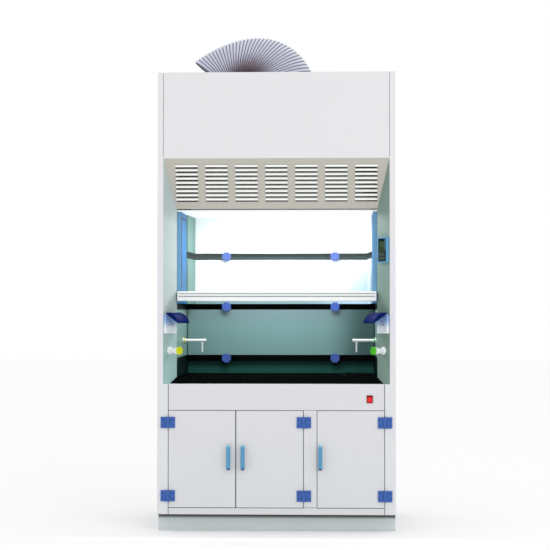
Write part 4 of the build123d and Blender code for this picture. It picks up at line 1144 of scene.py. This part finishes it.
@dataclass
class ShadeStrips:
    """Dark strips of painted shade: on the chases a strip down the front edge and a slot, on the sash grip
    two lines.
    """

    workshop: Workshop
    strip_half: float = 0.016
    proud: float = 0.0006
    strip_depth: float = 0.020
    strip_end: float = 0.004
    notch_half: float = 0.006
    notch_share: float = 0.36
    notch_drop: float = 0.030
    grip_shade_lines: tuple[tuple[float, float], ...] = ((0.024, 0.0024), (0.038, 0.0014))
    grip_inset: float = 0.0028
    grip_end: float = 0.004
    grip_depth: float = 0.0012

    def build(self) -> None:
        """Builds the painted shade strips of the chases and of the grip."""
        self._chases()
        self._grip()

    def _grip(self) -> None:
        """Grey lines of painted shade laid in the grip's two grooves, given by height above its foot and half
        thickness.
        """
        low, high = corners("sash_handle")
        grids: list[Grid] = []
        for rise, half_height in self.grip_shade_lines:
            centre = np.array([(low[0] + high[0]) / 2.0, low[1] + self.grip_inset, low[2] + rise])
            half = ((high[0] - low[0]) / 2.0 - self.grip_end, half_height, self.grip_depth)
            grids.append(pillow(centre, half, FRONT, 0.2, 20))
        lines = self.workshop.join("grip_shade_lines", grids, GRIP_SHADE)
        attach(lines, "sash")
        log.info("grip_shade_lines: %d", len(grids))

    def _chases(self) -> None:
        """Painted shade strips on the inner faces of both chases."""
        low, high = corners("side_chases")
        inner_x = high[0] - CHASE_WIDTH
        grids: list[Grid] = []
        for sign in (-1.0, 1.0):
            inward = np.array([-sign, 0.0, 0.0])
            centre = np.array([sign * inner_x, low[1] + self.strip_depth, (low[2] + high[2]) / 2.0])
            half = (self.strip_half, (high[2] - low[2]) / 2.0 - self.strip_end, self.proud)
            grids.append(pillow(centre, half, inward, 0.2, 20))
            centre = np.array([sign * inner_x, (low[1] + high[1]) / 2.0, high[2] - self.notch_drop])
            half = ((high[1] - low[1]) * self.notch_share, self.notch_half, self.proud)
            grids.append(pillow(centre, half, inward, 0.2, 20))
        piece = self.workshop.join("chase_shade_strips", grids, CHASE_SHADE)
        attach(piece, "root")
        log.info("chase_shade_strips: %d", len(grids))


@dataclass
class Services:
    """Colour rings on the outlets, painted shade in the sockets' pin holes, and the controller's bezel, keys
    and figures.

    The shares of the keys and the digit bars are taken of the half sizes that they sit in.
    """

    workshop: Workshop
    ring_inner: float = 0.0087
    ring_outer: float = 0.0158
    ring_width: float = 0.005
    ring_bevel: float = 0.0012
    flange_thickness: float = 0.004
    pin_pitch: float = 0.0095
    shade_disc_radius: float = 0.0045
    shade_disc_stand_off: float = 0.0144
    shade_disc_rise: float = 0.0006
    bezel_margin: float = 0.005
    bezel_proud: float = 0.0006
    key_columns: int = 3
    key_rows: int = 2
    key_spread: float = 0.9
    key_width: float = 0.22
    key_height: float = 0.32
    key_rise: float = 0.0010
    figures: tuple[int, ...] = (0, 5, 0)
    digit_height: float = 0.018
    digit_spread: float = 0.55
    bar_length: float = 0.42
    bar_width: float = 0.09
    bar_rise: float = 0.0004

    def build(self) -> None:
        """Builds the rings, the painted shade in the socket pin holes, the controller's bezel, its keys and
        its figures.
        """
        self._rings()
        self._pin_hole_shades()
        self._bezel()
        self._keys()
        self._digits()

    def _rings(self) -> None:
        """A thin turned colour ring on the flange of each outlet arm."""
        low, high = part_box("outlet_arms")
        middle_y = (low[1] + high[1]) / 2.0
        axis_z = high[2] - (high[1] - low[1]) / 2.0
        inner = self.ring_inner
        outer = self.ring_outer
        width = self.ring_width
        rim = outer - self.ring_bevel
        profile = np.array([(inner, 0.0), (outer, 0.0), (outer, 0.7 * width), (rim, width), (inner, width)])
        for x, sign, name, finish, slot in (
            (low[0], 1.0, "left", CODE_YELLOW, "code_yellow"),
            (high[0], -1.0, "right", CODE_GREEN, "code_green"),
        ):
            centre = np.array([x + sign * self.flange_thickness, middle_y, axis_z])
            grid = lathe(profile, centre, np.array([sign, 0.0, 0.0]), 36)
            ring = self.workshop.surface(f"outlet_ring_{name}", grid, finish, loop_u=True, loop_v=True)
            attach(ring, "root")
            log.info("outlet_ring_%s", name)

    def _pin_hole_shades(self) -> None:
        """Painted shade: dark discs at the bottom of the sockets' three pin holes, as low domes."""
        low, high = corners("socket_boxes")
        middle_z = (low[2] + high[2]) / 2.0
        pitch = self.pin_pitch
        pins = ((-pitch, -pitch / 2.0), (pitch, -pitch / 2.0), (0.0, pitch))
        half = (self.shade_disc_radius, self.shade_disc_radius, self.shade_disc_rise)
        grids: list[Grid] = []
        for sign in (-1.0, 1.0):
            out = np.array([-0.8 * sign, -0.6, 0.0])
            across = np.array([0.6 * sign, -0.8, 0.0])
            wall = np.array([sign * SPLAY_MIDDLE[0], SPLAY_MIDDLE[1], middle_z]) + across * SERVICE_SHIFT
            for pin_x, pin_z in pins:
                centre = wall + out * self.shade_disc_stand_off + across * pin_x
                centre[2] += pin_z
                grids.append(pillow(centre, half, out, 1.0, 16))
        shade_discs = self.workshop.join("pin_hole_shade_discs", grids, PIN_HOLE_SHADE)
        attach(shade_discs, "root")
        log.info("pin_hole_shade_discs: %d", len(grids))

    def _panel_axes(self, node: str) -> tuple[np.ndarray, np.ndarray, np.ndarray, np.ndarray, float, float]:
        """Middle of a controller face, its axes, and its half sizes.

        The box of a slab turned about Z gives its width w and thickness t: the box measures
        0.6 w + 0.8 t in X and 0.8 w + 0.6 t in Y.

        Args:
            node: The CAD node whose outer face is wanted.

        Returns:
            Middle of the outer face, across, up, outward, half width and half height.
        """
        low, high = corners(node)
        out = np.array(WALL_OUT_RIGHT)
        across = np.array([0.6, -0.8, 0.0])
        size = high - low
        width, thick = np.linalg.solve(np.array([[0.6, 0.8], [0.8, 0.6]]), size[:2])
        middle = (low + high) / 2.0 + out * thick / 2.0
        return middle, across, UP, out, width / 2.0, size[2] / 2.0

    def _bezel(self) -> None:
        """Dark strips on the controller's face, round the display and the key pad and between them."""
        middle, across, up, out, half_w, half_h = self._panel_axes("control_panel")
        screen_low, screen_high = corners("control_display")
        pad_low, pad_high = corners("control_keypad")
        screen_half = self._panel_axes("control_display")[4]
        edge = half_w - self.bezel_margin
        reach = half_h - self.bezel_margin
        top_z = (screen_high[2] + middle[2] + reach) / 2.0 - middle[2]
        foot_z = (pad_low[2] + middle[2] - reach) / 2.0 - middle[2]
        gap_z = (screen_low[2] + pad_high[2]) / 2.0 - middle[2]
        side_x = (edge + screen_half) / 2.0
        side_half = (edge - screen_half) / 2.0
        strips = (
            (-side_x, 0.0, side_half, reach),
            (side_x, 0.0, side_half, reach),
            (0.0, top_z, screen_half, (middle[2] + reach - screen_high[2]) / 2.0),
            (0.0, gap_z, screen_half, (screen_low[2] - pad_high[2]) / 2.0),
            (0.0, foot_z, screen_half, (pad_low[2] - middle[2] + reach) / 2.0),
        )
        grids: list[Grid] = []
        for x, z, half_x, half_z in strips:
            centre = middle + across * x + up * z
            grids.append(pillow(centre, (half_x, half_z, self.bezel_proud), out, 0.12, 24))
        bezel = self.workshop.join("controller_bezel", grids, KEYPAD_DARK)
        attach(bezel, "root")
        log.info("controller_bezel: %d strips", len(grids))

    def _keys(self) -> None:
        """Low domed keys in rows on the key pad."""
        middle, across, up, out, half_w, half_h = self._panel_axes("control_keypad")
        grids: list[Grid] = []
        for row in range(self.key_rows):
            for column in range(self.key_columns):
                share_x = (column - (self.key_columns - 1) / 2.0) * 2.0 / self.key_columns
                share_z = (row - (self.key_rows - 1) / 2.0) * 2.0 / self.key_rows
                along = across * share_x * half_w * self.key_spread
                centre = middle + along + up * share_z * half_h * self.key_spread
                half = (half_w * self.key_width, half_h * self.key_height, self.key_rise)
                grids.append(pillow(centre, half, out, 0.5, 28))
        keys = self.workshop.join("controller_keys", grids, KEY_GREEN)
        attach(keys, "root")
        log.info("controller_keys: %d", len(grids))

    def _digits(self) -> None:
        """Three generic seven-bar figures on the display window."""
        bars = {0: "abcdef", 5: "acdfg"}
        places = {
            "a": (0.0, 1.0, True), "b": (0.5, 0.5, False), "c": (0.5, -0.5, False), "d": (0.0, -1.0, True),
            "e": (-0.5, -0.5, False), "f": (-0.5, 0.5, False), "g": (0.0, 0.0, True),
        }
        middle, across, up, out, half_w, _ = self._panel_axes("control_display")
        reach = self.digit_height / 2.0
        long = reach * self.bar_length
        thin = reach * self.bar_width
        grids: list[Grid] = []
        for place, figure in enumerate(self.figures):
            centre = middle + across * (place - 1) * half_w * self.digit_spread
            for bar in bars[figure]:
                x, z, level = places[bar]
                at = centre + across * x * reach + up * z * reach
                half = (long, thin, self.bar_rise) if level else (thin, long, self.bar_rise)
                grids.append(pillow(at, half, out, 0.35, 12))
        digits = self.workshop.join("display_figures", grids, DIGIT_GREEN)
        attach(digits, "root")
        log.info("display_figures: %d bars", len(grids))


@dataclass
class Studio:
    """Pale floor, soft lights and the camera."""

    workshop: Workshop
    camera_place: Point = (0.3054, -8.769, 1.103)
    pitch_deg: float = 1.278
    yaw_deg: float = 2.137
    lens_mm: float = 108.55
    floor_half: float = 30.0
    floor_drop: float = 0.0005
    key_place: Point = (2.8, -5.5, 4.2)
    key_turn: Point = (58.0, 0.0, 27.0)
    chamber_drop: float = 0.004
    bounce_drop: float = 0.32
    surround: float = 1.0

    def build(self) -> None:
        """Sets the floor, the lights, the world and the camera."""
        bpy.context.scene.view_settings.view_transform = "Standard"
        self._floor()
        self._lights()
        self._camera()

    def _floor(self) -> None:
        """A wide pale floor."""
        edge = np.linspace(-self.floor_half, self.floor_half, 3)
        x, y = np.meshgrid(edge, edge, indexing="ij")
        grid = np.stack([x, y, np.full_like(x, -self.floor_drop)], axis=-1)
        self.workshop.surface("studio_floor", grid, PALE_FLOOR)

    def _lights(self) -> None:
        """A soft key, the lamp under the ceiling, the light that bounces back up, and a pale surround."""
        low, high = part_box("lamp_glass")
        lamp_x = (low[0] + high[0]) / 2.0
        lamp_y = (low[1] + high[1]) / 2.0
        ceiling_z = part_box("ceiling_panel")[0][2]
        under = (lamp_x, lamp_y, ceiling_z - self.chamber_drop)
        below = (lamp_x, lamp_y, ceiling_z - self.bounce_drop)
        self._area("key", self.key_place, self.key_turn, width=3.0, depth=3.0, power=40.0)
        self._area("chamber", under, (0.0, 0.0, 0.0), width=0.62, depth=0.11, power=7.0)
        self._area("bounce", below, (180.0, 0.0, 0.0), width=0.8, depth=0.2, power=2.0)
        world = bpy.data.worlds.new("surround")
        world.use_nodes = True
        world.node_tree.nodes["Background"].inputs["Color"].default_value = (1.0, 1.0, 1.0, 1.0)
        world.node_tree.nodes["Background"].inputs["Strength"].default_value = self.surround
        bpy.context.scene.world = world

    def _area(
        self, name: str, place: Point, turn_deg: Point, width: float, depth: float, power: float
    ) -> None:
        """Adds a rectangular soft light.

        Args:
            name: The light's name.
            place: Where it hangs.
            turn_deg: Its turn about X, Y and Z.
            width: Its width.
            depth: Its depth.
            power: Its power in watts.
        """
        light = bpy.data.lights.new(name, "AREA")
        light.shape = "RECTANGLE"
        light.size = width
        light.size_y = depth
        light.energy = power
        obj = bpy.data.objects.new(name, light)
        obj.location = place
        obj.rotation_euler = tuple(math.radians(angle) for angle in turn_deg)
        bpy.context.scene.collection.objects.link(obj)

    def _camera(self) -> None:
        """Places the camera well in front of the hood, a little to the right, with a long lens."""
        data = bpy.data.cameras.new("camera")
        data.lens = self.lens_mm
        data.sensor_width = 36.0
        data.clip_end = 200.0
        camera = bpy.data.objects.new("camera", data)
        camera.location = self.camera_place
        camera.rotation_euler = (math.radians(90.0 + self.pitch_deg), 0.0, math.radians(self.yaw_deg))
        bpy.context.scene.collection.objects.link(camera)
        bpy.context.scene.camera = camera


def main() -> None:
    """Dresses the CAD nodes and builds every further piece in order."""
    logging.basicConfig(level=logging.INFO, format="%(name)s: %(message)s")
    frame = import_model()
    workshop = Workshop()
    for finish, nodes in NODES.items():
        for node in nodes:
            workshop.dress(frame["nodes"][node], finish)
            log.info("dressed %s", node)
    Studio(workshop).build()
    Duct(workshop).build()
    SashCables(workshop).build()
    HingeScrews(workshop).build()
    PullHandles(workshop).build()
    SeamShadeAndBeads(workshop).build()
    ShadeStrips(workshop).build()
    Services(workshop).build()


if __name__ == "__main__":
    main()
